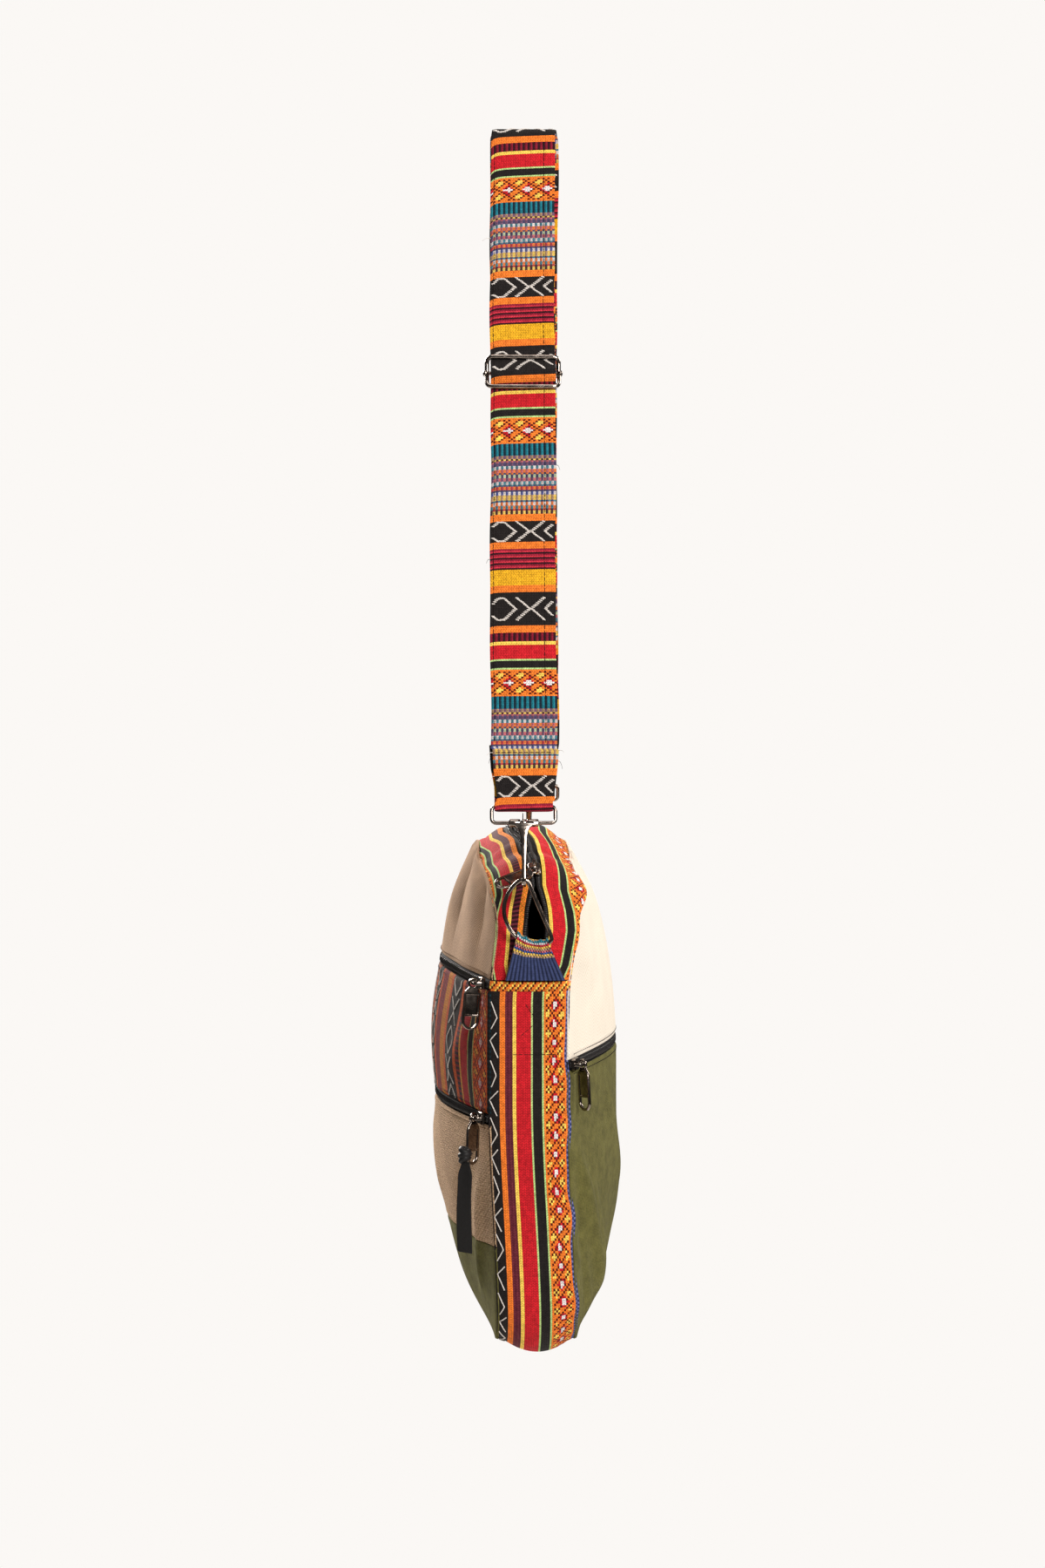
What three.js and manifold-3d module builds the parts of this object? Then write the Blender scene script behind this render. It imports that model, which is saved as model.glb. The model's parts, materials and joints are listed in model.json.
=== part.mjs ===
// Hemp crossbody bag hanging from its strap. Millimetres, Z up, X along the bag, Y through it.
// The origin is the underside of the strap's top fold, and the photographed end is at +X.
import * as THREE from "three";
import { mergeVertices } from "three/addons/utils/BufferGeometryUtils.js";
import Module from "manifold-3d";

const wasm = await Module();
wasm.setup();

// Sizes of the bag
const bag = {
  halfLength: 125,
  halfGusset: 23.5,
  top: -421,
  bottom: -711,
  seam: -494,
  topCorner: 70,
  bottomCorner: 32,
  crown: 8,
  sag: 4,
  bulgeFront: 29,
  bulgeBack: 33,
  fullnessTop: 1.1,
  fullnessFoot: 0.8,
  gussetCrown: 2.5,
};
// How the hanging bag slumps: its top edges droop and spread, its foot tucks in, and two parts lean to the back
const slump = {
  edge: 18,
  top: { from: -470, to: -420, droop: 9, spread: 4 },
  foot: { from: -672, to: -710, tuck: 5 },
  lowLean: { from: -560, to: -700, shift: 5 },
  cornerLean: { from: -508, to: -458, alongFrom: 50, alongTo: 115, shift: 4.8 },
};
const cloth = 1.8;
const joint = 0.35;
const patchGap = 0.2;
const zipHalf = 4;
const hem = { height: 5, stand: 3.2 };
const lining = { outer: 3.6, inner: 4.6 };
const tape = { outer: 2.45, inner: 3.35, reach: 9, ridge: 2.4, ridgeRise: 0.9 };

// Heights of the seams across the panels, at the ends of the bag
const frontLines = { zipUpper: -497, zipLower: -574, base: -647 };
const backLines = { zip: -543 };

// Sizes of the strap and of its hardware
const lean = THREE.MathUtils.degToRad(16.4);
const strap = { width: 38, thick: 1.8, ply: 2.1, fold: 3, barWidth: 33.2 };
const outerRun = strap.fold + strap.thick * 1.5 + (strap.ply - strap.thick);
const innerRun = strap.fold + strap.thick * 0.5;
const ringBar = { along: 409.8, out: outerRun - 2.25, wrap: 2.25, wire: 1.1 };
const loopHeight = 9.6;
const loopHalfWidth = 18.15;
const slider = { along: 149.3, halfWide: 21.05, halfTall: 9.2, wire: 1.3, plane: 8.75, bar: 5.6, barWire: 1.1 };
const sideShift = { near: -2.9, far: 8.5 };
const dRing = { wire: 1.2, halfBar: 20, depth: 20.5, tilt: 23, centre: [6, -452.9], x: 131.4 };
const tab = { thick: 1.4, top: [-7.2, 10.5], base: [-13.6, 20.4], foot: -493.2, front: 131.6, back: 129.2 };

const quarter = Math.PI / 2;
const cornerTop = bag.top - bag.topCorner;
const cornerBottom = bag.bottom + bag.bottomCorner;

const clamp = (value) => Math.min(1, Math.max(0, value));

function smooth(value) {
  const t = clamp(value);
  return t * t * (3 - 2 * t);
}

// Reads a table of [key, value] rows by straight lines between them
function lookUp(table, key) {
  if (key <= table[0][0]) return table[0][1];
  for (let i = 1; i < table.length; i++) {
    const [k0, v0] = table[i - 1];
    const [k1, v1] = table[i];
    if (key <= k1) return v0 + ((v1 - v0) * (key - k0)) / (k1 - k0);
  }
  return table[table.length - 1][1];
}

// Closed geometry from points and triangles, turned to face out
function closedGeometry(points, triangles) {
  let volume = 0;
  for (const [a, b, c] of triangles) {
    volume += points[a].dot(new THREE.Vector3().crossVectors(points[b], points[c]));
  }
  const index = triangles.flatMap(([a, b, c]) => (volume < 0 ? [a, c, b] : [a, b, c]));
  const geometry = new THREE.BufferGeometry();
  const flat = points.flatMap((p) => [p.x, p.y, p.z]);
  geometry.setAttribute("position", new THREE.Float32BufferAttribute(flat, 3));
  geometry.setIndex(index);
  return geometry;
}

// A wall between two faces, each a function of a row item and a column item
function wall(rows, columns, outer, inner) {
  const points = [];
  const triangles = [];
  const wide = columns.length;
  const at = (face, i, j) => (face * rows.length + i) * wide + j;
  for (const face of [outer, inner]) {
    for (const row of rows) {
      for (const column of columns) points.push(face(row, column));
    }
  }
  const quad = (a, b, c, d) => triangles.push([a, b, c], [a, c, d]);
  for (let i = 0; i < rows.length - 1; i++) {
    for (let j = 0; j < wide - 1; j++) {
      quad(at(0, i, j), at(0, i, j + 1), at(0, i + 1, j + 1), at(0, i + 1, j));
      quad(at(1, i, j), at(1, i + 1, j), at(1, i + 1, j + 1), at(1, i, j + 1));
    }
    const last = wide - 1;
    quad(at(0, i, 0), at(0, i + 1, 0), at(1, i + 1, 0), at(1, i, 0));
    quad(at(0, i, last), at(1, i, last), at(1, i + 1, last), at(0, i + 1, last));
  }
  const end = rows.length - 1;
  for (let j = 0; j < wide - 1; j++) {
    quad(at(0, 0, j), at(1, 0, j), at(1, 0, j + 1), at(0, 0, j + 1));
    quad(at(0, end, j), at(0, end, j + 1), at(1, end, j + 1), at(1, end, j));
  }
  return closedGeometry(points, triangles);
}

// Booleans of closed geometry
function solidOf(geometry) {
  const bare = geometry.clone();
  for (const name of ["normal", "uv"]) bare.deleteAttribute(name);
  const merged = mergeVertices(bare, 1e-4);
  const vertProperties = new Float32Array(merged.attributes.position.array);
  const triVerts = new Uint32Array(merged.index.array);
  return new wasm.Manifold(new wasm.Mesh({ numProp: 3, vertProperties, triVerts }));
}

function geometryOf(solid) {
  const mesh = solid.getMesh();
  const geometry = new THREE.BufferGeometry();
  geometry.setAttribute("position", new THREE.BufferAttribute(new Float32Array(mesh.vertProperties), 3));
  geometry.setIndex(new THREE.BufferAttribute(new Uint32Array(mesh.triVerts), 1));
  return geometry;
}

const fuse = (list) => geometryOf(list.map(solidOf).reduce((sum, next) => sum.add(next)));
const cut = (from, tool) => geometryOf(solidOf(from).subtract(solidOf(tool)));

function box(x0, x1, y0, y1, z0, z1) {
  const geometry = new THREE.BoxGeometry(x1 - x0, y1 - y0, z1 - z0);
  return geometry.translate((x0 + x1) / 2, (y0 + y1) / 2, (z0 + z1) / 2);
}

// A flat shape drawn in X and Z, given a width along Y about its middle
function plateXZ(shape, width) {
  const geometry = new THREE.ExtrudeGeometry(shape, { depth: width, bevelEnabled: false, curveSegments: 5 });
  return geometry.translate(0, 0, -width / 2).rotateX(quarter);
}

// A wire bent into a closed loop through the given points
function wireLoop(points, radius, segments, sides) {
  const curve = new THREE.CatmullRomCurve3(points, true, "catmullrom", 0.5);
  return new THREE.TubeGeometry(curve, segments, radius, sides, true);
}

function polygon(points) {
  return new THREE.Shape(points.map(([x, y]) => new THREE.Vector2(x, y)));
}

// Shape of the bag: a level counts 0 to 1 up the lower corner, 1 to 2 up the end, 2 to 3 round the upper corner
function levelOf(z) {
  if (z < cornerBottom) return 1 - Math.asin((cornerBottom - z) / bag.bottomCorner) / quarter;
  if (z < cornerTop) return 1 + (z - cornerBottom) / (cornerTop - cornerBottom);
  return 2 + Math.asin(clamp((z - cornerTop) / bag.topCorner)) / quarter;
}

function edgeAt(level, inset) {
  if (level < 1) {
    const angle = (1 - level) * quarter;
    const radius = bag.bottomCorner - inset;
    return {
      reach: bag.halfLength - bag.bottomCorner + radius * Math.cos(angle),
      z: cornerBottom - radius * Math.sin(angle),
      angle: -angle,
    };
  }
  if (level < 2) {
    return { reach: bag.halfLength - inset, z: cornerBottom + (level - 1) * (cornerTop - cornerBottom), angle: 0 };
  }
  const angle = (level - 2) * quarter;
  const radius = bag.topCorner - inset;
  return {
    reach: bag.halfLength - bag.topCorner + radius * Math.cos(angle),
    z: cornerTop + radius * Math.sin(angle),
    angle,
  };
}

const shareOf = (level) => (edgeAt(level, 0).z - bag.bottom) / (bag.top - bag.bottom);

// Broad folds and dents of the panels: place along and up the panel, spread, and how far they stand out
const folds = [
  { side: -1, u: 0.74, v: 0.87, du: 0.13, dv: 0.12, out: 1.6 },
  { side: -1, u: 0.45, v: 0.86, du: 0.14, dv: 0.14, out: -1.8 },
  { side: -1, u: 0.12, v: 0.86, du: 0.14, dv: 0.14, out: 1.4 },
  { side: -1, u: -0.4, v: 0.86, du: 0.16, dv: 0.14, out: -1.6 },
  { side: -1, u: 0.5, v: 0.15, du: 0.2, dv: 0.08, out: -2 },
  { side: 1, u: 0.62, v: 0.12, du: 0.16, dv: 0.09, out: 2.6 },
  { side: 1, u: 0.3, v: 0.2, du: 0.18, dv: 0.07, out: -2.2 },
  { side: 1, u: 0.3, v: 0.85, du: 0.2, dv: 0.1, out: 1.4 },
];

function bulge(side, u, v) {
  const along = Math.pow(clamp(1 - u * u), 1.2);
  const up = Math.pow(clamp(1 - Math.pow(Math.abs(2 * v - 1), 3)), v > 0.5 ? bag.fullnessTop : bag.fullnessFoot);
  let out = (side < 0 ? bag.bulgeFront : bag.bulgeBack) * along * up;
  for (const fold of folds) {
    if (fold.side !== side) continue;
    const spread = ((u - fold.u) / fold.du) ** 2 + ((v - fold.v) / fold.dv) ** 2;
    out += fold.out * Math.exp(-spread) * smooth((1 - Math.abs(u)) * 8) * smooth((0.5 - Math.abs(v - 0.5)) * 20);
  }
  return out;
}

const grown = (value, from, to) => smooth((value - from) / (to - from));

// A point of the evenly filled bag, moved to where it hangs
function place(x, y, z) {
  const { top, foot, lowLean, cornerLean } = slump;
  const across = Math.min(1, Math.abs(y) / slump.edge);
  const high = grown(z, top.from, top.to);
  const low = grown(z, foot.from, foot.to);
  const corner = grown(x, cornerLean.alongFrom, cornerLean.alongTo) * grown(z, cornerLean.from, cornerLean.to);
  const lean = cornerLean.shift * corner + lowLean.shift * grown(z, lowLean.from, lowLean.to);
  const spread = Math.sign(y) * across * top.spread * high;
  const rise = across ** 2 * (foot.tuck * low - top.droop * high);
  return new THREE.Vector3(x, y + spread + lean, z + rise);
}

function heightAt(u, level, z) {
  const v = shareOf(level);
  return z + (1 - u * u) * (bag.crown * v - bag.sag * (1 - v));
}

function panelPoint(side, u, level, inset) {
  const edge = edgeAt(level, inset);
  const lift = level > 2.99 ? -joint : level < 0.01 ? joint : 0;
  const y = side * (bag.halfGusset - inset + bulge(side, u, shareOf(level)));
  return place((edge.reach - joint) * u, y, heightAt(u, level, edge.z) + lift);
}

// Creases of the strips round the edge: place, spread and how far they stand out
const creases = [
  { x: 72, z: -420, y: 0, spread: [9, 14, 40], out: -3 },
  { x: 98, z: -434, y: 17, spread: [14, 12, 8], out: 2.6 },
  { x: 122, z: -472, y: -16, spread: [12, 12, 9], out: 1.5 },
];

function stripPoint(u, level, y, inset, proud = 0) {
  const edge = edgeAt(level, inset);
  const ridge = bag.gussetCrown * (1 - (y / bag.halfGusset) ** 2);
  let out = ridge + proud;
  for (const crease of creases) {
    const [dx, dz, dy] = crease.spread;
    const along = (edge.reach * u - crease.x) / dx;
    const far = along ** 2 + ((edge.z - crease.z) / dz) ** 2 + ((y - crease.y) / dy) ** 2;
    out += crease.out * Math.exp(-far) * (1 - Math.abs(y / bag.halfGusset) ** 3);
  }
  const x = edge.reach * u + u * Math.cos(edge.angle) * out;
  return place(x, y, heightAt(u, level, edge.z) + Math.sin(edge.angle) * out);
}

function evenly(from, to, count) {
  return Array.from({ length: count + 1 }, (_, i) => from + ((to - from) * i) / count);
}

const columns = evenly(-1, 1, 14);
const levels = [...evenly(0, 1, 5), ...evenly(1, 2, 5).slice(1), ...evenly(2, 3, 7).slice(1)];

function levelsBetween(from, to) {
  const inside = levels.filter((level) => level > from + 0.03 && level < to - 0.03);
  return [from, ...inside, to];
}

// A patch of a panel between two heights, and a zip with its raised chain
function patch(side, low, high) {
  const first = low === null ? 0 : levelOf(low + patchGap);
  const last = high === null ? 3 : levelOf(high - patchGap);
  const rows = levelsBetween(first, last);
  const face = (inset) => (level, u) => panelPoint(side, u, level, inset);
  return wall(rows, columns, face(0), face(cloth));
}

function panelZip(side, z) {
  const profile = [
    { up: -zipHalf + patchGap, inset: 0.8 },
    { up: -2.1, inset: 0.05 },
    { up: 2.1, inset: 0.05 },
    { up: zipHalf - patchGap, inset: 0.8 },
  ];
  const rows = profile.map((row) => ({ level: levelOf(z + row.up), inset: row.inset }));
  const outer = (row, u) => panelPoint(side, u, row.level, row.inset);
  const inner = (row, u) => panelPoint(side, u, row.level, cloth + 0.4);
  return wall(rows, columns, outer, inner);
}

// The paths round the edge: over the top between the tabs, and down the ends and under the bottom
const seamLevel = levelOf(bag.seam + patchGap + 0.1);
const hemLevel = levelOf(bag.seam - patchGap);
const topLevels = levelsBetween(seamLevel, 3);
const topPath = [
  ...topLevels.map((level) => ({ u: 1, level })),
  ...columns.slice(1, -1).reverse().map((u) => ({ u, level: 3 })),
  ...[...topLevels].reverse().map((level) => ({ u: -1, level })),
];
const hemTop = levelOf(bag.seam - hem.height);
const hemFoot = levelOf(bag.seam - hem.height - 1.4);
const gussetLevels = [...levelsBetween(0, hemFoot), hemTop, hemLevel];
const gussetPath = [
  ...[...gussetLevels].reverse().map((level) => ({ u: 1, level })),
  ...columns.slice(1, -1).reverse().map((u) => ({ u, level: 0 })),
  ...gussetLevels.map((level) => ({ u: -1, level })),
];

// Half the opening of the main zip and how much tape shows beside it, by height on the near end
const mouth = [
  [-494, 1.2],
  [-485, 4.2],
  [-466, 5.2],
  [-454, 3.8],
  [-447, 1.8],
  [-442, 0.3],
];
const tapeShows = [
  [-494, 3],
  [-454, 3.2],
  [-429, 4.6],
  [-421, 5.5],
];
const mouthSide = [
  [-464, -0.4],
  [-434, 0],
];

// The zip wanders to the front along the top
const zipWander = { shift: -5, over: 0.6 };

function zipAt(step) {
  const z = edgeAt(step.level, 0).z;
  const wander = zipWander.shift * smooth((1 - Math.abs(step.u)) / zipWander.over);
  if (step.u < 1) return { middle: wander, open: 0.25, show: lookUp(tapeShows, z) };
  return { middle: lookUp(mouthSide, z), open: lookUp(mouth, z), show: lookUp(tapeShows, z) };
}

function gussetWall() {
  const across = evenly(-1, 1, 4);
  const face = (inset) => (step, part) => {
    const y = part * (bag.halfGusset - inset - joint);
    const stand = step.level >= hemTop && inset === 0 ? hem.stand * (1 - part ** 4) : 0;
    return stripPoint(step.u, step.level, y, inset, stand);
  };
  return wall(gussetPath, across, face(0), face(cloth));
}

function topStrip(side) {
  const face = (inset) => (step, part) => {
    const zip = zipAt(step);
    const inside = zip.middle + side * (zip.open + zip.show);
    const outside = side * (bag.halfGusset - inset - joint);
    return stripPoint(step.u, step.level, inside + (outside - inside) * part, inset);
  };
  return wall(topPath, evenly(0, 1, 3), face(0), face(cloth));
}

function zipTape(side) {
  const profile = [
    { in: 0, rise: tape.ridgeRise },
    { in: tape.ridge, rise: tape.ridgeRise },
    { in: tape.ridge + 0.4, rise: 0 },
    { in: tape.reach, rise: 0 },
  ];
  const face = (inset, rises) => (step, line) => {
    const zip = zipAt(step);
    const y = zip.middle + side * (zip.open + line.in);
    return stripPoint(step.u, step.level, y, inset - (rises ? line.rise : 0));
  };
  return wall(topPath, profile, face(tape.outer, true), face(tape.inner, false));
}

// The lining: one pouch inside the walls, open where the main zip is open
function pouch(inset) {
  const points = [];
  const triangles = [];
  const places = evenly(-1, 1, 6);
  const rows = [...evenly(0, 1, 3), ...evenly(1, 2, 4).slice(1), ...evenly(2, 3, 5).slice(1)];
  const round = places.length * 2;
  for (const level of rows) {
    for (const u of places) points.push(panelPoint(-1, u, level, inset));
    for (const u of [...places].reverse()) points.push(panelPoint(1, u, level, inset));
  }
  const quad = (a, b, c, d) => triangles.push([a, b, c], [a, c, d]);
  for (let i = 0; i < rows.length - 1; i++) {
    for (let j = 0; j < round; j++) {
      const next = (j + 1) % round;
      quad(i * round + j, i * round + next, (i + 1) * round + next, (i + 1) * round + j);
    }
  }
  const cap = (row, flip) => {
    for (let j = 0; j < places.length - 1; j++) {
      const ring = [j, j + 1, round - 2 - j, round - 1 - j].map((k) => row * round + k);
      quad(...(flip ? ring.reverse() : ring));
    }
  };
  cap(0, true);
  cap(rows.length - 1, false);
  return closedGeometry(points, triangles);
}

function liningPouch() {
  const slot = { from: 70, to: 140, low: -488, high: -440, half: 4.4, middle: 4.2 };
  const way = box(slot.from, slot.to, slot.middle - slot.half, slot.middle + slot.half, slot.low, slot.high);
  return cut(cut(pouch(lining.outer), pouch(lining.inner)), way);
}

// The strap: places on a half are a distance along it from the top fold and a distance out from its middle
function onHalf(side, along, out) {
  const x = along * Math.sin(lean) + out * Math.cos(lean);
  return [side * x, -strap.fold - along * Math.cos(lean) + out * Math.sin(lean)];
}

const shiftAt = (side, along) => (side > 0 ? sideShift.near : sideShift.far) * (along / ringBar.along);

function widthAt(along) {
  const narrow = smooth((along - ringBar.along + 28) / 18);
  return strap.width + (strap.barWidth - strap.width) * narrow;
}

// How far the outer run stands out as it passes through the slider
function sliderRun(up) {
  if (Math.abs(up) >= 10) return outerRun;
  return outerRun + 3.9 * (0.5 + 0.5 * Math.cos((Math.PI * up) / 10));
}

function strapPath() {
  const path = [];
  const add = (side, along, out) => {
    const [x, z] = onHalf(side, along, out);
    path.push({ x, z, y: shiftAt(side, along), width: widthAt(along) });
  };
  const farRun = [3, 60, 130, 200, 270, 340, ringBar.along - 28];
  const tail = [
    [24, 1.75],
    [16, 1.75],
    [9, 1.75],
    [4.5, 2.5],
  ];
  for (const [up, out] of tail) add(1, slider.along - up, out);
  for (const angle of evenly(Math.PI, 2 * Math.PI, 6)) {
    const wrap = ringBar.wrap;
    add(1, slider.along - wrap * Math.sin(angle), slider.bar + wrap * Math.cos(angle));
  }
  for (const up of [2, 4, 6, 8, 10, 13]) {
    const slope = 0.61 * Math.sin((Math.PI * Math.min(up, 10)) / 10);
    add(1, slider.along - up, sliderRun(up) - strap.ply * Math.hypot(1, slope));
  }
  for (const along of [100, 50, 3]) add(1, along, innerRun);
  const overTop = (radius, from, to) => {
    for (const angle of evenly(from, to, 9)) {
      path.push({
        x: radius * Math.cos(angle),
        z: -strap.fold + radius * Math.sin(angle),
        y: 0,
        width: strap.width,
      });
    }
  };
  overTop(innerRun, lean, Math.PI - lean);
  for (const along of farRun) add(-1, along, innerRun);
  add(-1, ringBar.along - 16, 2.6);
  for (const angle of evenly(Math.PI, 2 * Math.PI, 6)) {
    add(-1, ringBar.along - ringBar.wrap * Math.sin(angle), ringBar.out + ringBar.wrap * Math.cos(angle));
  }
  for (const along of [ringBar.along - 16, ...[...farRun].reverse()]) add(-1, along, outerRun);
  overTop(outerRun, Math.PI - lean, lean);
  for (const along of [3, 50, 100]) add(1, along, outerRun);
  for (const up of [13, 10, 8, 6, 4, 2, 0, -2, -4, -6, -8, -10, -13]) add(1, slider.along - up, sliderRun(up));
  for (const along of [220, 280, 340, ringBar.along - 28, ringBar.along - 14]) add(1, along, outerRun);
  for (const angle of evenly(0, -Math.PI, 6)) {
    add(1, ringBar.along - ringBar.wrap * Math.sin(angle), ringBar.out + ringBar.wrap * Math.cos(angle));
  }
  add(1, ringBar.along - 12, 2.4);
  add(1, ringBar.along - 22, innerRun - 0.2);
  add(1, ringBar.along - 36, innerRun - 0.2);
  return path;
}

function strapBand() {
  const path = strapPath();
  const normals = path.map((_, i) => {
    const before = path[Math.max(0, i - 1)];
    const after = path[Math.min(path.length - 1, i + 1)];
    const way = new THREE.Vector2(after.x - before.x, after.z - before.z).normalize();
    return new THREE.Vector2(-way.y, way.x);
  });
  const rows = path.map((step, i) => ({ ...step, normal: normals[i] }));
  const face = (offset) => (step, part) =>
    new THREE.Vector3(
      step.x + step.normal.x * offset,
      step.y + (part * step.width) / 2,
      step.z + step.normal.y * offset,
    );
  return wall(rows, [-1, 1], face(strap.thick / 2), face(-strap.thick / 2));
}

// Frames to build hardware in: X out from the bag, Y across, Z up along the strap
function strapFrame(along, out) {
  const [x, z] = onHalf(1, along, out);
  const frame = new THREE.Matrix4().makeBasis(
    new THREE.Vector3(Math.cos(lean), 0, Math.sin(lean)),
    new THREE.Vector3(0, 1, 0),
    new THREE.Vector3(-Math.sin(lean), 0, Math.cos(lean)),
  );
  return frame.setPosition(x, shiftAt(1, along), z);
}

// The far end carries the same hardware, turned half round
function farEnd(geometry) {
  return geometry.clone().rotateZ(Math.PI).translate(0, sideShift.far + sideShift.near, 0);
}

function roundedLoop(halfWide, low, high, corner, bow) {
  const points = [];
  const middle = (low + high) / 2;
  const half = (high - low) / 2;
  const corners = [
    [1, 1, 0],
    [-1, 1, 1],
    [-1, -1, 2],
    [1, -1, 3],
  ];
  for (const [right, up, turn] of corners) {
    for (const step of [0, 0.5, 1]) {
      const angle = (turn + step) * quarter;
      const y = right * (halfWide - corner) + corner * Math.cos(angle);
      const z = up * (half - corner) + corner * Math.sin(angle);
      points.push(new THREE.Vector3(bow(z), y, middle + z));
    }
    const y = turn === 0 || turn === 2 ? 0 : right * halfWide;
    if (turn === 0 || turn === 2) points.push(new THREE.Vector3(bow(up * half), y, middle + up * half));
    else points.push(new THREE.Vector3(bow(0), y, middle));
  }
  return points;
}

const hookAt = strapFrame(ringBar.along + loopHeight, ringBar.out);

function hookLoop() {
  const points = roundedLoop(loopHalfWidth, 0, loopHeight, 2.4, () => 0);
  return wireLoop(points, ringBar.wire, 32, 6).applyMatrix4(hookAt);
}

// The hook: a sleeve on the loop's lower bar, a tapered stem and a bowl that holds the D-ring
const hook = {
  stemIn: 1.6,
  stemOut: 3,
  bowl: [-1.6, -32.3],
  bowlIn: 3.2,
  tipTop: -23.5,
  width: 2.2,
  head: 17,
  slot: 3.8,
};

function ringShape(outer, inner) {
  const shape = new THREE.Shape().absarc(0, 0, outer, 0, 2 * Math.PI, false);
  shape.holes.push(new THREE.Path().absarc(0, 0, inner, 0, 2 * Math.PI, true));
  return shape;
}

function hookBody() {
  const [bx, bz] = hook.bowl;
  const thick = hook.stemOut - hook.stemIn;
  const shape = new THREE.Shape();
  shape.moveTo(hook.stemOut, -3);
  shape.lineTo(hook.stemOut, bz);
  shape.absarc(bx, bz, hook.bowlIn + thick, 0, -Math.PI, true);
  shape.lineTo(bx - hook.bowlIn - thick, hook.tipTop);
  shape.lineTo(bx - hook.bowlIn, hook.tipTop);
  shape.lineTo(bx - hook.bowlIn, bz);
  shape.absarc(bx, bz, hook.bowlIn, -Math.PI, 0, false);
  shape.lineTo(hook.stemIn, -3);
  const stem = plateXZ(shape, hook.width);
  const taper = new THREE.ExtrudeGeometry(
    polygon([
      [-4.6, -1],
      [-3, -4],
      [-1.2, -21],
      [1.2, -21],
      [3, -4],
      [4.6, -1],
    ]),
    { depth: thick, bevelEnabled: false },
  );
  taper.rotateX(quarter).rotateZ(quarter).translate(hook.stemIn, 0, 0);
  const sleeve = plateXZ(ringShape(2.2, 1.4), hook.head);
  const face = box(hook.stemIn, hook.stemOut - 0.4, -hook.head / 2, hook.head / 2, -2, 1.6);
  const slot = box(-4, 4, -hook.slot / 2, hook.slot / 2, -2.5, 4);
  const body = cut(fuse([sleeve, face, taper]), slot);
  return fuse([body, stem]).applyMatrix4(hookAt);
}

function hookGate() {
  const eye = plateXZ(ringShape(2.2, 1.4), 3);
  const blade = polygon([
    [-2.1, -0.4],
    [-4.4, -21.5],
    [-4.45, -25.1],
    [-3.5, -25.1],
    [-3.3, -21.5],
    [-1.2, -1.75],
  ]);
  const tail = polygon([
    [-0.6, 1.7],
    [0.6, 1.7],
    [0.6, 5.8],
    [-0.6, 5.8],
  ]);
  return fuse([eye, plateXZ(blade, 2), plateXZ(tail, 1.3)]).applyMatrix4(hookAt);
}

// The D-ring hangs by one corner in the hook, with its other corner in the tab
function dRingPoints() {
  const upper = [
    { back: 0, up: 15.5 },
    { back: -1.3, up: 18.9 },
    { back: -5.6, up: 19.3 },
    { back: -11.8, up: 16.4 },
    { back: -16.9, up: 11.4 },
    { back: -19.9, up: 4.4 },
  ];
  const lower = [...upper].reverse().map((row) => ({ back: row.back, up: -row.up }));
  const bar = [
    { back: 0, up: -5 },
    { back: 0, up: 5 },
  ];
  const turn = THREE.MathUtils.degToRad(dRing.tilt);
  const [y0, z0] = dRing.centre;
  return [...upper, ...lower, ...bar].map(({ back, up }) => {
    const y = y0 + back * Math.cos(turn) - up * Math.sin(turn);
    const z = z0 + back * Math.sin(turn) + up * Math.cos(turn);
    return new THREE.Vector3(dRing.x, y, z);
  });
}

const dRingCurve = new THREE.CatmullRomCurve3(dRingPoints(), true, "catmullrom", 0.5);

function dRingWire() {
  return new THREE.TubeGeometry(dRingCurve, 30, dRing.wire, 6, true);
}

// Height of the D-ring's lowest wire at a place across the tab
function lowWire(y) {
  const points = dRingCurve.getPoints(160);
  let lowest = Infinity;
  for (let i = 1; i < points.length; i++) {
    const [a, b] = [points[i - 1], points[i]];
    if ((a.y - y) * (b.y - y) > 0) continue;
    const part = (y - a.y) / (b.y - a.y || 1);
    lowest = Math.min(lowest, a.z + part * (b.z - a.z));
  }
  return lowest;
}

function tabLoop() {
  const parts = evenly(0, 1, 7);
  const round = dRing.wire + 0.4 + tab.thick / 2;
  const mix = ([from, to], part) => from + (to - from) * part;
  const lines = parts.map((part) => {
    const y = mix(tab.top, part);
    const slope = (lowWire(y + 0.5) - lowWire(y - 0.5)) / 1;
    const wire = lowWire(y) + (dRing.wire + 0.4) * (Math.hypot(1, Math.min(1, slope)) - 1);
    const middle = [];
    for (const t of evenly(0, 1, 3).slice(0, -1)) {
      middle.push([tab.front + (dRing.x + round - tab.front) * t, tab.foot + (wire - tab.foot) * t]);
    }
    for (const angle of evenly(0, Math.PI, 5)) {
      middle.push([dRing.x + round * Math.cos(angle), wire + round * Math.sin(angle)]);
    }
    for (const t of evenly(0, 1, 3).slice(1)) {
      middle.push([dRing.x - round + (tab.back - dRing.x + round) * t, wire + (tab.foot - wire) * t]);
    }
    return { part, middle, wire };
  });
  const face = (offset) => (k, line) => {
    const { middle, part, wire } = line;
    const before = middle[Math.max(0, k - 1)];
    const after = middle[Math.min(middle.length - 1, k + 1)];
    const way = new THREE.Vector2(after[0] - before[0], after[1] - before[1]).normalize();
    const [x, z] = middle[k];
    const rise = clamp((z - tab.foot) / (wire - tab.foot));
    const y = mix(tab.base, part) * (1 - rise) + mix(tab.top, part) * rise;
    return new THREE.Vector3(x + way.y * offset, y, z - way.x * offset);
  };
  const steps = lines[0].middle.map((_, k) => k);
  return wall(steps, lines, face(tab.thick / 2), face(-tab.thick / 2));
}

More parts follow.
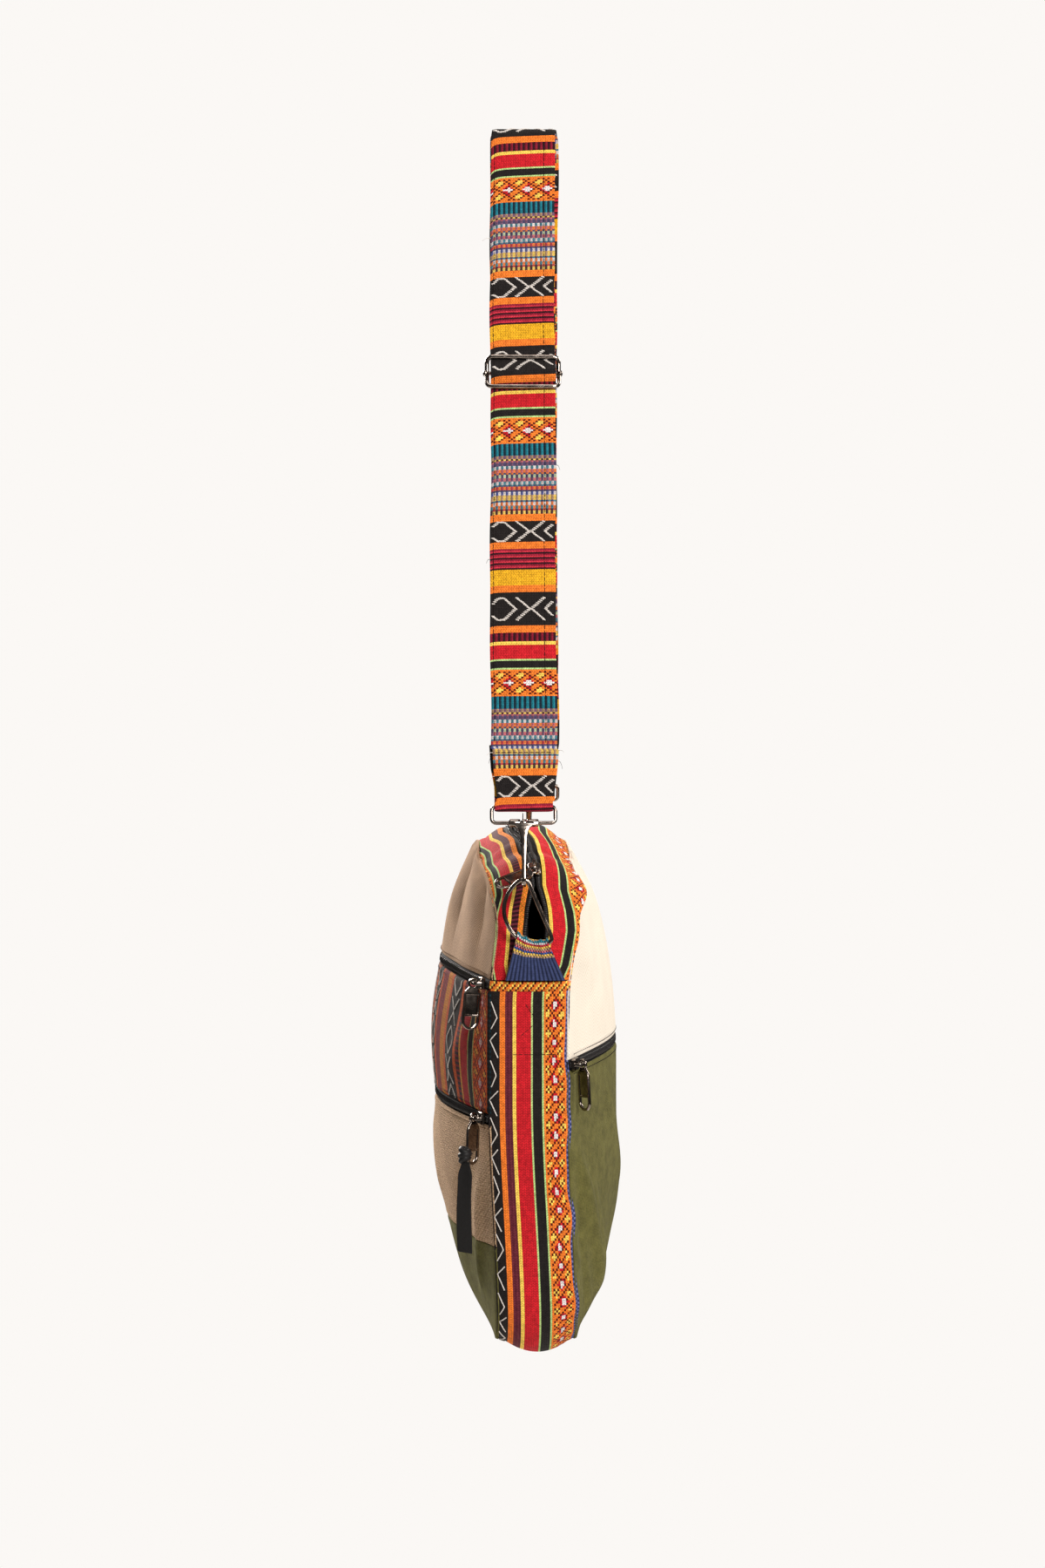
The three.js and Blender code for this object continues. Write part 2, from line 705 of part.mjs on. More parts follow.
function strapSlider() {
  const frameAt = strapFrame(slider.along, 0);
  const bow = (z) => slider.plane - (slider.plane - slider.bar) * (1 - (z / slider.halfTall) ** 2);
  const points = roundedLoop(slider.halfWide, -slider.halfTall, slider.halfTall, 3, bow);
  const frame = wireLoop(points, slider.wire, 32, 6);
  const bar = new THREE.CylinderGeometry(slider.barWire, slider.barWire, 2 * slider.halfWide, 8);
  bar.translate(slider.bar, 0, 0);
  const knob = (side) => {
    const end = new THREE.CylinderGeometry(1.9, 1.5, 3.2, 8);
    return end.rotateX(side > 0 ? 0 : Math.PI).translate(slider.bar, side * (slider.halfWide + 0.7), 0);
  };
  return fuse([frame, bar, knob(1), knob(-1)]).applyMatrix4(frameAt);
}

// Zip sliders and pulls, built with X out from the cloth, Y along the zip and Z up
const zipPart = {
  base: 2.3,
  crown: 5.9,
  crownHalf: 4.3,
  crownThick: 1.6,
  pullLength: 30,
  pullHalf: 5.2,
  pullThick: 1.6,
};

function zipSliderShape() {
  const base = box(0.35, zipPart.base, -5, 5, -3.7, 3.7);
  const half = zipPart.crownHalf;
  const top = zipPart.crown + zipPart.crownThick / 2;
  const arch = polygon([
    [1, -half],
    [top - 0.6, -half],
    [top, -half + 0.8],
    [top, half - 0.8],
    [top - 0.6, half],
    [1, half],
    [1, half - 1.5],
    [top - zipPart.crownThick, half - 1.5],
    [top - zipPart.crownThick, -half + 1.5],
    [1, -half + 1.5],
  ]);
  const crown = new THREE.ExtrudeGeometry(arch, { depth: zipPart.crownThick, bevelEnabled: false });
  return fuse([base, crown.translate(0, 0, -zipPart.crownThick / 2)]);
}

// A pull hanging down from its eye at the origin, its flat facing along the zip
function zipPullShape() {
  const half = zipPart.pullHalf;
  const end = -zipPart.pullLength + 3.2;
  const shape = new THREE.Shape();
  shape.absarc(0, 0, 3.2, -0.72, Math.PI + 0.72, false);
  shape.lineTo(-half, -6.5);
  shape.lineTo(-half, end + 4.5);
  shape.quadraticCurveTo(-half, end, 0, end);
  shape.quadraticCurveTo(half, end, half, end + 4.5);
  shape.lineTo(half, -6.5);
  shape.holes.push(new THREE.Path().absarc(0, 0, 1.95, 0, 2 * Math.PI, true));
  const window = new THREE.Path();
  const rim = half - 1.8;
  window.moveTo(-rim, -15.5);
  window.lineTo(rim, -15.5);
  window.lineTo(rim, end + 4.6);
  window.quadraticCurveTo(rim * 0.9, end + 1.8, 0, end + 1.8);
  window.quadraticCurveTo(-rim * 0.9, end + 1.8, -rim, end + 4.6);
  shape.holes.push(window);
  return plateXZ(shape, zipPart.pullThick);
}

// A frame on a panel's zip: X out, Y along the zip, Z up
function zipFrame({ side, z, u, stand }) {
  const level = levelOf(z);
  const at = panelPoint(side, u, level, 0);
  const ahead = panelPoint(side, u + 0.02, level, 0);
  const along = new THREE.Vector3(ahead.x - at.x, ahead.y - at.y, 0).normalize();
  const up = new THREE.Vector3(0, 0, 1);
  const out = new THREE.Vector3().crossVectors(along, up).multiplyScalar(-side);
  const across = new THREE.Vector3().crossVectors(up, out);
  at.addScaledVector(out, stand);
  return new THREE.Matrix4().makeBasis(out, across, up).setPosition(at);
}

// Pulls of the pocket zips: side, height, place along, stand-off, twist about the vertical and tilt out, in degrees
const pockets = {
  front_zip_upper: { side: -1, z: frontLines.zipUpper, u: 0.925, stand: 0.5, twist: 0, tilt: 5 },
  front_zip_lower: { side: -1, z: frontLines.zipLower, u: 0.93, stand: 0, twist: 30, tilt: 2 },
  back_zip: { side: 1, z: backLines.zip, u: 0.95, stand: 0, twist: -36, tilt: 3 },
};

function hangPull(geometry, pocket) {
  return geometry
    .clone()
    .rotateZ(THREE.MathUtils.degToRad(pocket.twist))
    .rotateY(THREE.MathUtils.degToRad(-pocket.tilt))
    .translate(zipPart.crown, 0, 0)
    .applyMatrix4(zipFrame(pocket));
}

// The ribbon is looped round one side of the pull's frame, knotted beside it and hangs in two tails
const ribbonPart = {
  loopX: 4.9,
  loopHalfX: 3.1,
  loopHalfY: 2.3,
  wire: 0.75,
  knotX: 10.2,
  knotSide: 3,
  knotRadius: 4,
  knotTall: 1.4,
  overFoot: 7,
  tailX: 9.4,
  tailDrop: 4,
  tailLength: 52,
  tailHalf: 4.6,
};

function ribbonShape() {
  const { loopX, loopHalfX, loopHalfY, knotRadius } = ribbonPart;
  const height = -zipPart.pullLength + 3.2 + ribbonPart.overFoot;
  const knot = new THREE.SphereGeometry(knotRadius, 9, 6)
    .scale(1, 1, ribbonPart.knotTall)
    .translate(ribbonPart.knotX, ribbonPart.knotSide, height);
  const ring = [];
  for (const angle of evenly(0, 2 * Math.PI, 8).slice(0, -1)) {
    ring.push(new THREE.Vector3(loopX + loopHalfX * Math.cos(angle), loopHalfY * Math.sin(angle), height));
  }
  const loop = wireLoop(ring, ribbonPart.wire, 12, 5);
  const tailWall = (lean, sideways) => {
    const rows = evenly(0, 1, 6);
    const face = (offset) => (t, part) =>
      new THREE.Vector3(
        ribbonPart.tailX + lean * t + 1.1 * Math.sin(4 * t + sideways) * t + offset,
        ribbonPart.knotSide + part * ribbonPart.tailHalf + sideways * 2.2 * t,
        height - ribbonPart.tailDrop - ribbonPart.tailLength * t,
      );
    return wall(rows, [-1, 1], face(0.6), face(-0.6));
  };
  return fuse([knot, loop, tailWall(0.6, 0.5), tailWall(-1.8, -0.5)]);
}

// The main slider sits where the open mouth ends, on the near upper corner
const mainSlider = {
  z: -434.5,
  legInset: 0.75,
  pullTurn: 55,
  pullTip: 4,
  pullOut: 3.85,
  pullSide: -0.3,
  pullDrop: 0.3,
};

function mainZipFrame() {
  const level = levelOf(mainSlider.z);
  const at = stripPoint(1, level, 0, tape.outer - tape.ridgeRise);
  const ahead = stripPoint(1, level + 0.02, 0, tape.outer - tape.ridgeRise);
  const up = new THREE.Vector3(ahead.x - at.x, 0, ahead.z - at.z).normalize();
  const across = new THREE.Vector3(0, 1, 0);
  const out = new THREE.Vector3().crossVectors(across, up);
  return new THREE.Matrix4().makeBasis(out, across, up).setPosition(at);
}

function mainZipSlider() {
  return zipSliderShape().rotateX(quarter).applyMatrix4(mainZipFrame());
}

// The main pull lies on the front strip with its eye round the slider's lower leg
function mainZipPull() {
  const leg = zipPart.crownHalf - mainSlider.legInset;
  return zipPullShape()
    .rotateZ(quarter)
    .rotateX(THREE.MathUtils.degToRad(-mainSlider.pullTurn))
    .rotateY(THREE.MathUtils.degToRad(-mainSlider.pullTip))
    .translate(mainSlider.pullOut, mainSlider.pullSide, -leg - mainSlider.pullDrop)
    .applyMatrix4(mainZipFrame());
}

// Colours stand for the cloth and metal of each piece
const look = {
  woven: new THREE.MeshStandardMaterial({ color: 0xd96a32, roughness: 0.9 }),
  tan: new THREE.MeshStandardMaterial({ color: 0xa58c6e, roughness: 0.95 }),
  cream: new THREE.MeshStandardMaterial({ color: 0xf0e1cd, roughness: 0.95 }),
  olive: new THREE.MeshStandardMaterial({ color: 0x5f6437, roughness: 0.95 }),
  black: new THREE.MeshStandardMaterial({ color: 0x2d2a2a, roughness: 0.8 }),
  metal: new THREE.MeshStandardMaterial({ color: 0x3c3734, roughness: 0.35, metalness: 1 }),
};

const group = new THREE.Group();
group.name = "hemp_crossbody_bag";

function add(name, geometry, material) {
  const mesh = new THREE.Mesh(geometry, material);
  mesh.name = name;
  group.add(mesh);
}

add("gusset", gussetWall(), look.woven);
add("front_top_patch", patch(-1, frontLines.zipUpper + zipHalf, null), look.tan);
add("front_zip_upper", panelZip(-1, frontLines.zipUpper), look.black);
add("front_mid_patch", patch(-1, frontLines.zipLower + zipHalf, frontLines.zipUpper - zipHalf), look.woven);
add("front_zip_lower", panelZip(-1, frontLines.zipLower), look.black);
add("front_low_patch", patch(-1, frontLines.base, frontLines.zipLower - zipHalf), look.tan);
add("front_base_patch", patch(-1, null, frontLines.base), look.olive);
add("back_top_patch", patch(1, backLines.zip + zipHalf, null), look.cream);
add("back_zip", panelZip(1, backLines.zip), look.black);
add("back_base_patch", patch(1, null, backLines.zip - zipHalf), look.olive);
add("top_strip_front", topStrip(-1), look.woven);
add("top_strip_back", topStrip(1), look.woven);
add("main_zip_front", zipTape(-1), look.black);
add("main_zip_back", zipTape(1), look.black);
add("lining", liningPouch(), look.black);

const ends = [
  ["near", (geometry) => geometry],
  ["far", farEnd],
];
for (const [end, turned] of ends) {
  add("tab_" + end, turned(tabLoop()), look.woven);
  add("d_ring_" + end, turned(dRingWire()), look.metal);
  add("hook_" + end, turned(hookBody()), look.metal);
  add("hook_loop_" + end, turned(hookLoop()), look.metal);
  add("hook_gate_" + end, turned(hookGate()), look.metal);
}

add("strap", strapBand(), look.woven);
add("strap_slider", strapSlider(), look.metal);

for (const [name, pocket] of Object.entries(pockets)) {
  add(name + "_slider", zipSliderShape().applyMatrix4(zipFrame(pocket)), look.metal);
  add(name + "_pull", hangPull(zipPullShape(), pocket), look.metal);
}
add("ribbon", hangPull(ribbonShape(), pockets.front_zip_lower), look.black);
add("main_zip_slider", mainZipSlider(), look.metal);
add("main_zip_pull", mainZipPull(), look.metal);

export default group;
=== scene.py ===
import json
import math

import bmesh
import bpy
import numpy as np
from mathutils import Matrix, Vector
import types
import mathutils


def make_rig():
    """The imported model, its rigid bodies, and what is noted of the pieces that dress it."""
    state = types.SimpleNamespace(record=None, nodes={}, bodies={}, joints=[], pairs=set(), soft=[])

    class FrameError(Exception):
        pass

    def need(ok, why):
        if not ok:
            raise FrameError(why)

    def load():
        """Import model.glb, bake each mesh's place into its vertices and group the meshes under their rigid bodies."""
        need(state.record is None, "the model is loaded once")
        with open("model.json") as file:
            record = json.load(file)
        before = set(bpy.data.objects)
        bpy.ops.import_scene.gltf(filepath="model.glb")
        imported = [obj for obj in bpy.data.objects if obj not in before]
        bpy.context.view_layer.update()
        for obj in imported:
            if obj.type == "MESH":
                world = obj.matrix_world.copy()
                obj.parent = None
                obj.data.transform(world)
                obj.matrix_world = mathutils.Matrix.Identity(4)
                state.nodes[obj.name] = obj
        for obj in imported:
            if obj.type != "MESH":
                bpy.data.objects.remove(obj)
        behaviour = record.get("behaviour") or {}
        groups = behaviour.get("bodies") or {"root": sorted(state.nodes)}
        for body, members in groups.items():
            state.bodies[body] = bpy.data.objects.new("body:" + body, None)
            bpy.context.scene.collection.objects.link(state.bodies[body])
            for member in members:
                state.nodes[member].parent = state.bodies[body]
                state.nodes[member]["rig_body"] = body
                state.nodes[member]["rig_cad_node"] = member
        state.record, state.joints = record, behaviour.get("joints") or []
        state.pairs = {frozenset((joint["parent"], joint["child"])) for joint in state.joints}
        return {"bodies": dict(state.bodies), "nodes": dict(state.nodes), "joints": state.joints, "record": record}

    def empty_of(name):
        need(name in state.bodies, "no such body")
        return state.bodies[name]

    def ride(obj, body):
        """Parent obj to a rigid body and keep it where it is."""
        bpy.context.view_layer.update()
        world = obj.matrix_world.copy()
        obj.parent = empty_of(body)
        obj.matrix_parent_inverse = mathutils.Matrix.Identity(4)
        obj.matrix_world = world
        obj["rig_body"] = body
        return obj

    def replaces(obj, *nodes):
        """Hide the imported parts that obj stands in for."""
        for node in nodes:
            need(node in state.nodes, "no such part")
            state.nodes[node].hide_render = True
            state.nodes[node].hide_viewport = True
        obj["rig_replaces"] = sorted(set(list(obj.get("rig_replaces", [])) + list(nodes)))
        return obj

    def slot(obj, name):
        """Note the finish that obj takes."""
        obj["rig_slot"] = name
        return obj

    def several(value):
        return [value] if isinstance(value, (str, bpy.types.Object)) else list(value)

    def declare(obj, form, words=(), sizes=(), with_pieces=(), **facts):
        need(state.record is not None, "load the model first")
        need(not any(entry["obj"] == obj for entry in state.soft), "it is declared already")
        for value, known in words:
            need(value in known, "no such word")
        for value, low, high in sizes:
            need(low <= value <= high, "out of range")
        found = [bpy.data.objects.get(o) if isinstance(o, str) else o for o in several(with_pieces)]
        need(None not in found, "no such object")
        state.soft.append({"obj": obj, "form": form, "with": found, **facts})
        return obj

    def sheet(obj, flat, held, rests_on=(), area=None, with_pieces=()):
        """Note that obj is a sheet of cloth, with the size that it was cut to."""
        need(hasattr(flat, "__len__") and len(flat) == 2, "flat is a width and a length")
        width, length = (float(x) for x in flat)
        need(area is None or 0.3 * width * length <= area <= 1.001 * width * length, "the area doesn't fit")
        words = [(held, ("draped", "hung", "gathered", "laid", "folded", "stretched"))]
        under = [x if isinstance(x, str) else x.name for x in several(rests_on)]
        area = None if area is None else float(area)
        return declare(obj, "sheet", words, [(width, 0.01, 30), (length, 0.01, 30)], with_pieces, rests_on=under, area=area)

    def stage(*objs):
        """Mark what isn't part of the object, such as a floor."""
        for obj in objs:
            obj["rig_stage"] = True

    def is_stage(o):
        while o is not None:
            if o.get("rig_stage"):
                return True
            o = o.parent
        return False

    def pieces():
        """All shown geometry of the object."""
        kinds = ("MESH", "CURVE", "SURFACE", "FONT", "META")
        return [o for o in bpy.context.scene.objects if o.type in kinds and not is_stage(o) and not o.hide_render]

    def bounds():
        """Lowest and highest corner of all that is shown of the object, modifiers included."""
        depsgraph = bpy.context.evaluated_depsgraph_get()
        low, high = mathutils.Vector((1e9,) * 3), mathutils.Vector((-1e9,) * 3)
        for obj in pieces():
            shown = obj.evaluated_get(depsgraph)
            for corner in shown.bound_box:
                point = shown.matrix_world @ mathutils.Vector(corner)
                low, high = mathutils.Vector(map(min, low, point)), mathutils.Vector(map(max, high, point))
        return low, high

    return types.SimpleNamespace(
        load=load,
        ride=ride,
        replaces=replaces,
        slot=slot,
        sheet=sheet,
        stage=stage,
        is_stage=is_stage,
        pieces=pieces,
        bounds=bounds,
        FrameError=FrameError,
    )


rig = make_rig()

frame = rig.load()
cad_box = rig.bounds()
MM = 0.001
QUARTER = math.pi / 2
rng = np.random.default_rng(11)

# Shape of the bag
HALF_LENGTH = 125.0
HALF_GUSSET = 23.5
TOP, BOTTOM, SEAM = -421.0, -711.0, -494.0
TOP_CORNER, BOTTOM_CORNER = 70.0, 32.0
CROWN, SAG = 8.0, 4.0
BULGE = {-1: 29.0, 1: 33.0}
GUSSET_CROWN = 2.5
CORNER_TOP = TOP - TOP_CORNER
CORNER_BOTTOM = BOTTOM + BOTTOM_CORNER
JOINT = 0.35
PANEL_THICK = 1.5
STRIP_THICK = 1.4
PATCH_GAP = 0.2
ZIP_HALF = 3.1
HEM = {"height": 5.0, "stand": 3.2}
FRONT = {"zip_upper": -497.0, "zip_lower": -574.0, "base": -647.0}
BACK = {"zip": -543.0}

# Shape of the strap and its hardware
LEAN = math.radians(16.4)
STRAP = {"width": 38.0, "thick": 1.8, "ply": 2.1, "fold": 3.0, "bar_width": 33.2}
OUTER_RUN = STRAP["fold"] + 1.5 * STRAP["thick"] + STRAP["ply"] - STRAP["thick"]
INNER_RUN = STRAP["fold"] + 0.5 * STRAP["thick"]
RING_BAR = {"along": 409.8, "out": OUTER_RUN - 2.25, "wrap": 2.25, "wire": 1.1}
LOOP_HEIGHT, LOOP_HALF = 9.6, 18.15
SLIDER = {"along": 149.3, "half_wide": 21.05, "half_tall": 9.2, "wire": 1.3, "plane": 8.75, "bar": 5.6}
SHIFT = {1: -2.9, -1: 8.5}
RING = {"wire": 1.2, "tilt": math.radians(23), "y": 6.0, "z": -452.9, "x": 131.4}
TAB = {"thick": 1.4, "top": (-7.2, 10.5), "base": (-13.6, 20.4), "foot": -493.2}
TAB.update(front=131.6, back=129.2)

# The woven cloth: one rib is two cells along a band, one pick is a cell across it
RIB = 2.92
PICK = 1.05
SLANT = 0.95


def smooth(value):
    t = np.clip(value, 0, 1)
    return t * t * (3 - 2 * t)


def table(rows, key):
    """Reads a table of (key, value) rows by straight lines."""
    return np.interp(key, [r[0] for r in rows], [r[1] for r in rows])


def unit(vectors):
    return vectors / np.linalg.norm(vectors, axis=-1, keepdims=True)


def walked(points):
    """Length walked along a line of points, up to each of them."""
    return np.concatenate([[0], np.cumsum(np.linalg.norm(np.diff(points, axis=0), axis=1))])


def point_at(at, walk, points):
    """Points of a line at lengths walked along it."""
    return np.stack([np.interp(at, walk, points[:, k]) for k in range(points.shape[1])], -1)


def ridge(distance, width):
    return np.exp(-((distance / width) ** 2))


def level_of(z):
    if z < CORNER_BOTTOM:
        return 1 - math.asin((CORNER_BOTTOM - z) / BOTTOM_CORNER) / QUARTER
    if z < CORNER_TOP:
        return 1 + (z - CORNER_BOTTOM) / (CORNER_TOP - CORNER_BOTTOM)
    return 2 + math.asin(min(1, (z - CORNER_TOP) / TOP_CORNER)) / QUARTER


def edge_at(level, inset=0.0):
    """Reach along X, height and slope of the bag's outline at a level from 0 to 3."""
    low = np.clip(1 - level, 0, 1) * QUARTER
    high = np.clip(level - 2, 0, 1) * QUARTER
    small, large = BOTTOM_CORNER - inset, TOP_CORNER - inset
    reach = HALF_LENGTH - inset - small * (1 - np.cos(low)) - large * (1 - np.cos(high))
    straight = np.clip(level - 1, 0, 1) * (CORNER_TOP - CORNER_BOTTOM)
    z = CORNER_BOTTOM + straight - small * np.sin(low) + large * np.sin(high)
    return reach, z, high - low


def share_of(level):
    return (edge_at(level)[1] - BOTTOM) / (TOP - BOTTOM)


# Broad folds and dents of the panels: side, place along and up, spread, and how far they stand out
FOLDS = [
    (-1, 0.74, 0.87, 0.13, 0.12, 1.6),
    (-1, 0.45, 0.86, 0.14, 0.14, -1.8),
    (-1, 0.12, 0.86, 0.14, 0.14, 1.4),
    (-1, -0.4, 0.86, 0.16, 0.14, -1.6),
    (-1, 0.5, 0.15, 0.2, 0.08, -2.0),
    (1, 0.62, 0.12, 0.16, 0.09, 2.6),
    (1, 0.3, 0.2, 0.18, 0.07, -2.2),
    (1, 0.3, 0.85, 0.2, 0.1, 1.4),
]


def bulge(side, u, v):
    along = np.clip(1 - u * u, 0, 1) ** 1.2
    up = np.clip(1 - np.abs(2 * v - 1) ** 3, 0, 1) ** np.where(v > 0.5, 1.1, 0.8)
    out = BULGE[side] * along * up
    fade = smooth((1 - np.abs(u)) * 8) * smooth((0.5 - np.abs(v - 0.5)) * 20)
    for fold_side, fu, fv, du, dv, stand in FOLDS:
        if fold_side == side:
            out = out + stand * np.exp(-(((u - fu) / du) ** 2) - ((v - fv) / dv) ** 2) * fade
    return out


# How the hanging bag slumps: its top edges droop and spread, its foot tucks in, and two parts lean back
SLUMP = {
    "edge": 18.0, "top": (-470, -420), "droop": 9.0, "spread": 4.0, "foot": (-672, -710), "tuck": 5.0,
    "low": (-560, -700), "low_lean": 5.0,
    "corner": (-508, -458), "corner_along": (50, 115), "corner_lean": 4.8,
}


def grown(value, between):
    first, last = between
    return smooth((value - first) / (last - first))


def place(x, y, z):
    """A point of the evenly filled bag, moved to where it hangs."""
    across = np.minimum(1, np.abs(y) / SLUMP["edge"])
    high, low = grown(z, SLUMP["top"]), grown(z, SLUMP["foot"])
    corner = grown(x, SLUMP["corner_along"]) * grown(z, SLUMP["corner"])
    lean = SLUMP["corner_lean"] * corner + SLUMP["low_lean"] * grown(z, SLUMP["low"])
    spread = np.sign(y) * across * SLUMP["spread"] * high
    rise = across**2 * (SLUMP["tuck"] * low - SLUMP["droop"] * high)
    return np.stack(np.broadcast_arrays(x, y + spread + lean, z + rise), axis=-1)


def height_at(u, level, z):
    v = share_of(level)
    return z + (1 - u * u) * (CROWN * v - SAG * (1 - v))


def panel_point(side, u, level, inset=0.0, extra=0.0):
    reach, z, _ = edge_at(level, inset)
    lift = np.where(level > 2.99, -JOINT, np.where(level < 0.01, JOINT, 0.0))
    y = side * (HALF_GUSSET - inset + bulge(side, u, share_of(level)) + extra)
    return place((reach - JOINT) * u, y, height_at(u, level, z) + lift)


# Creases of the strips round the edge: place, spread along X, Z and Y, and how far they stand out
CREASES = [
    (72, -420, 0, 9, 14, 40, -3.0),
    (98, -434, 17, 14, 12, 8, 2.6),
    (122, -472, -16, 12, 12, 9, 1.5),
]


def strip_point(u, level, y, inset=0.0, extra=0.0):
    reach, z, angle = edge_at(level, inset)
    out = GUSSET_CROWN * (1 - (y / HALF_GUSSET) ** 2) + extra
    for cx, cz, cy, dx, dz, dy, stand in CREASES:
        far = ((reach * u - cx) / dx) ** 2 + ((z - cz) / dz) ** 2 + ((y - cy) / dy) ** 2
        out = out + stand * np.exp(-far) * (1 - np.abs(y / HALF_GUSSET) ** 3)
    x = reach * u + u * np.cos(angle) * out
    return place(x, y, height_at(u, level, z) + np.sin(angle) * out)


# Meshes
def placed(name, data):
    obj = bpy.data.objects.new(name, data)
    bpy.context.scene.collection.objects.link(obj)
    return obj


def new_object(name, verts, faces, material):
    mesh = bpy.data.meshes.new(name)
    mesh.from_pydata((np.asarray(verts) * MM).tolist(), [], faces)
    mesh.materials.append(material)
    return placed(name, mesh)


def finish_mesh(obj, sharp=50):
    obj.data.shade_smooth()
    obj.data.set_sharp_from_angle(angle=math.radians(sharp))
    return obj


def ride(obj, slot, *nodes, body="bag"):
    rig.ride(obj, body)
    if nodes:
        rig.replaces(obj, *nodes)
    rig.slot(obj, slot)
    return obj


def cloth(obj, slot, node, width, length, rests_on):
    """A sheet of cloth sewn in all round, with its size laid flat."""
    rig.sheet(obj, flat=(width * MM, float(length) * MM), held="stretched", rests_on=[rests_on])
    return ride(obj, slot, node)


def grid_normals(points):
    du = np.gradient(points, axis=0)
    dv = np.gradient(points, axis=1)
    normal = np.cross(du, dv)
    return normal / np.maximum(np.linalg.norm(normal, axis=-1, keepdims=True), 1e-9)


def cloth_mesh(name, outer, thick, uv, material, out_hint, cells=None):
    """A closed sheet: a grid of outer points, its back face and the edges, with a map in millimetres."""
    rows, cols = outer.shape[:2]
    normal = grid_normals(outer)
    flip = np.sum(normal * out_hint) < 0
    normal = -normal if flip else normal
    inner = outer - normal * np.asarray(thick)[..., None]
    index = np.arange(rows * cols).reshape(rows, cols)
    back = index + rows * cols
    a, b, c, d = index[:-1, :-1], index[1:, :-1], index[1:, 1:], index[:-1, 1:]
    front_faces = np.stack([a, b, c, d], -1).reshape(-1, 4)
    back_faces = front_faces[:, ::-1] + rows * cols
    rims = []
    cell_index = np.arange((rows - 1) * (cols - 1)).reshape(rows - 1, cols - 1)
    owners = [cell_index.ravel(), cell_index.ravel()]

    def rim(line, back_line, owner, turn):
        quads = np.stack([line[:-1], back_line[:-1], back_line[1:], line[1:]], -1)
        rims.append(quads[:, ::-1] if turn else quads)
        owners.append(owner)

    rim(index[:, 0], back[:, 0], cell_index[:, 0], False)
    rim(index[:, -1], back[:, -1], cell_index[:, -1], True)
    rim(index[0], back[0], cell_index[0], True)
    rim(index[-1], back[-1], cell_index[-1], False)
    faces = np.concatenate([front_faces, back_faces, *rims])
    faces = faces[:, ::-1] if flip else faces
    verts = np.concatenate([outer.reshape(-1, 3), inner.reshape(-1, 3)])
    obj = new_object(name, verts, faces.tolist(), material)
    flat = np.concatenate([uv.reshape(-1, 2)] * 2)
    layer = obj.data.uv_layers.new(name="mm")
    layer.data.foreach_set("uv", flat[faces.ravel()].astype(np.float32).ravel())
    if cells is not None:
        owner = np.concatenate(owners)
        colours = np.repeat(cells.reshape(-1, 4)[owner], 4, axis=0)
        attribute = obj.data.color_attributes.new(name="weave", type="FLOAT_COLOR", domain="CORNER")
        attribute.data.foreach_set("color", colours.astype(np.float32).ravel())
    return finish_mesh(obj)


def around(sides, start=0.0):
    return (np.arange(sides) + start) * 2 * math.pi / sides


def ring_faces(count, sides, closed=False, shift=0):
    """Faces between rings of points, with flat ends; a closed one meets its first ring turned by a shift."""
    faces = []
    for k in range(count if closed else count - 1):
        row, after = k * sides, (k + 1) % count * sides
        turn = 0 if after else shift
        for i in range(sides):
            j = (i + 1) % sides
            faces.append((row + i, row + j, after + (j + turn) % sides, after + (i + turn) % sides))
    if not closed:
        faces.append(tuple(range(sides))[::-1])
        faces.append(tuple(range((count - 1) * sides, count * sides)))
    return faces


def turned_over(faces):
    """Faces that look the other way; a side keeps its first corner."""
    return [face[::-1] if len(face) > 4 else (face[0], *face[:0:-1]) for face in faces]


# Profile of a small rod: place along it and share of its radius
ROD = [(0.0, 0.35), (0.16, 1.0), (0.84, 1.0), (1.0, 0.35)]


def capsules(name, starts, ends, radius, material, sides=6):
    """Many small rods with rounded ends in one mesh: stitches, zip teeth and threads."""
    starts, ends = np.asarray(starts, float), np.asarray(ends, float)
    way = ends - starts
    length = np.linalg.norm(way, axis=1, keepdims=True)
    way = way / np.maximum(length, 1e-9)
    helper = np.where(np.abs(way[:, 2:3]) < 0.8, [[0.0, 0.0, 1.0]], [[1.0, 0.0, 0.0]])
    across = unit(np.cross(way, helper))
    other = np.cross(way, across)
    angle = around(sides)[None, :, None]
    turn = across[:, None] * np.cos(angle) + other[:, None] * np.sin(angle)
    rings = [(starts + way * length * t)[:, None] + turn * radius * grow for t, grow in ROD]
    verts = np.stack(rings, 1).reshape(-1, 3)
    rod, step = ring_faces(len(ROD), sides), sides * len(ROD)
    every = [tuple(v + n * step for v in face) for n in range(len(starts)) for face in rod]
    return finish_mesh(new_object(name, verts, every, material), 60)


def tube(points, radius, sides=10, closed=False):
    """Points and faces of a round wire along a line of points."""
    points = np.asarray(points, float)
    if closed:
        way = unit(np.roll(points, -1, 0) - np.roll(points, 1, 0))
    else:
        way = unit(np.gradient(points, axis=0))
    side = unit(np.cross(way[0], [0.3, 0.5, 0.81]))
    angle = around(sides)
    rings = []
    for point, w, r in zip(points, way, np.broadcast_to(radius, len(points))):
        side = unit(side - w * np.dot(side, w))
        rings.append(point + r * (np.outer(np.cos(angle), side) + np.outer(np.sin(angle), np.cross(w, side))))
    shift = int(np.argmin(np.linalg.norm(rings[-1][0] - rings[0], axis=1))) if closed else 0
    return np.concatenate(rings), ring_faces(len(points), sides, closed, shift)


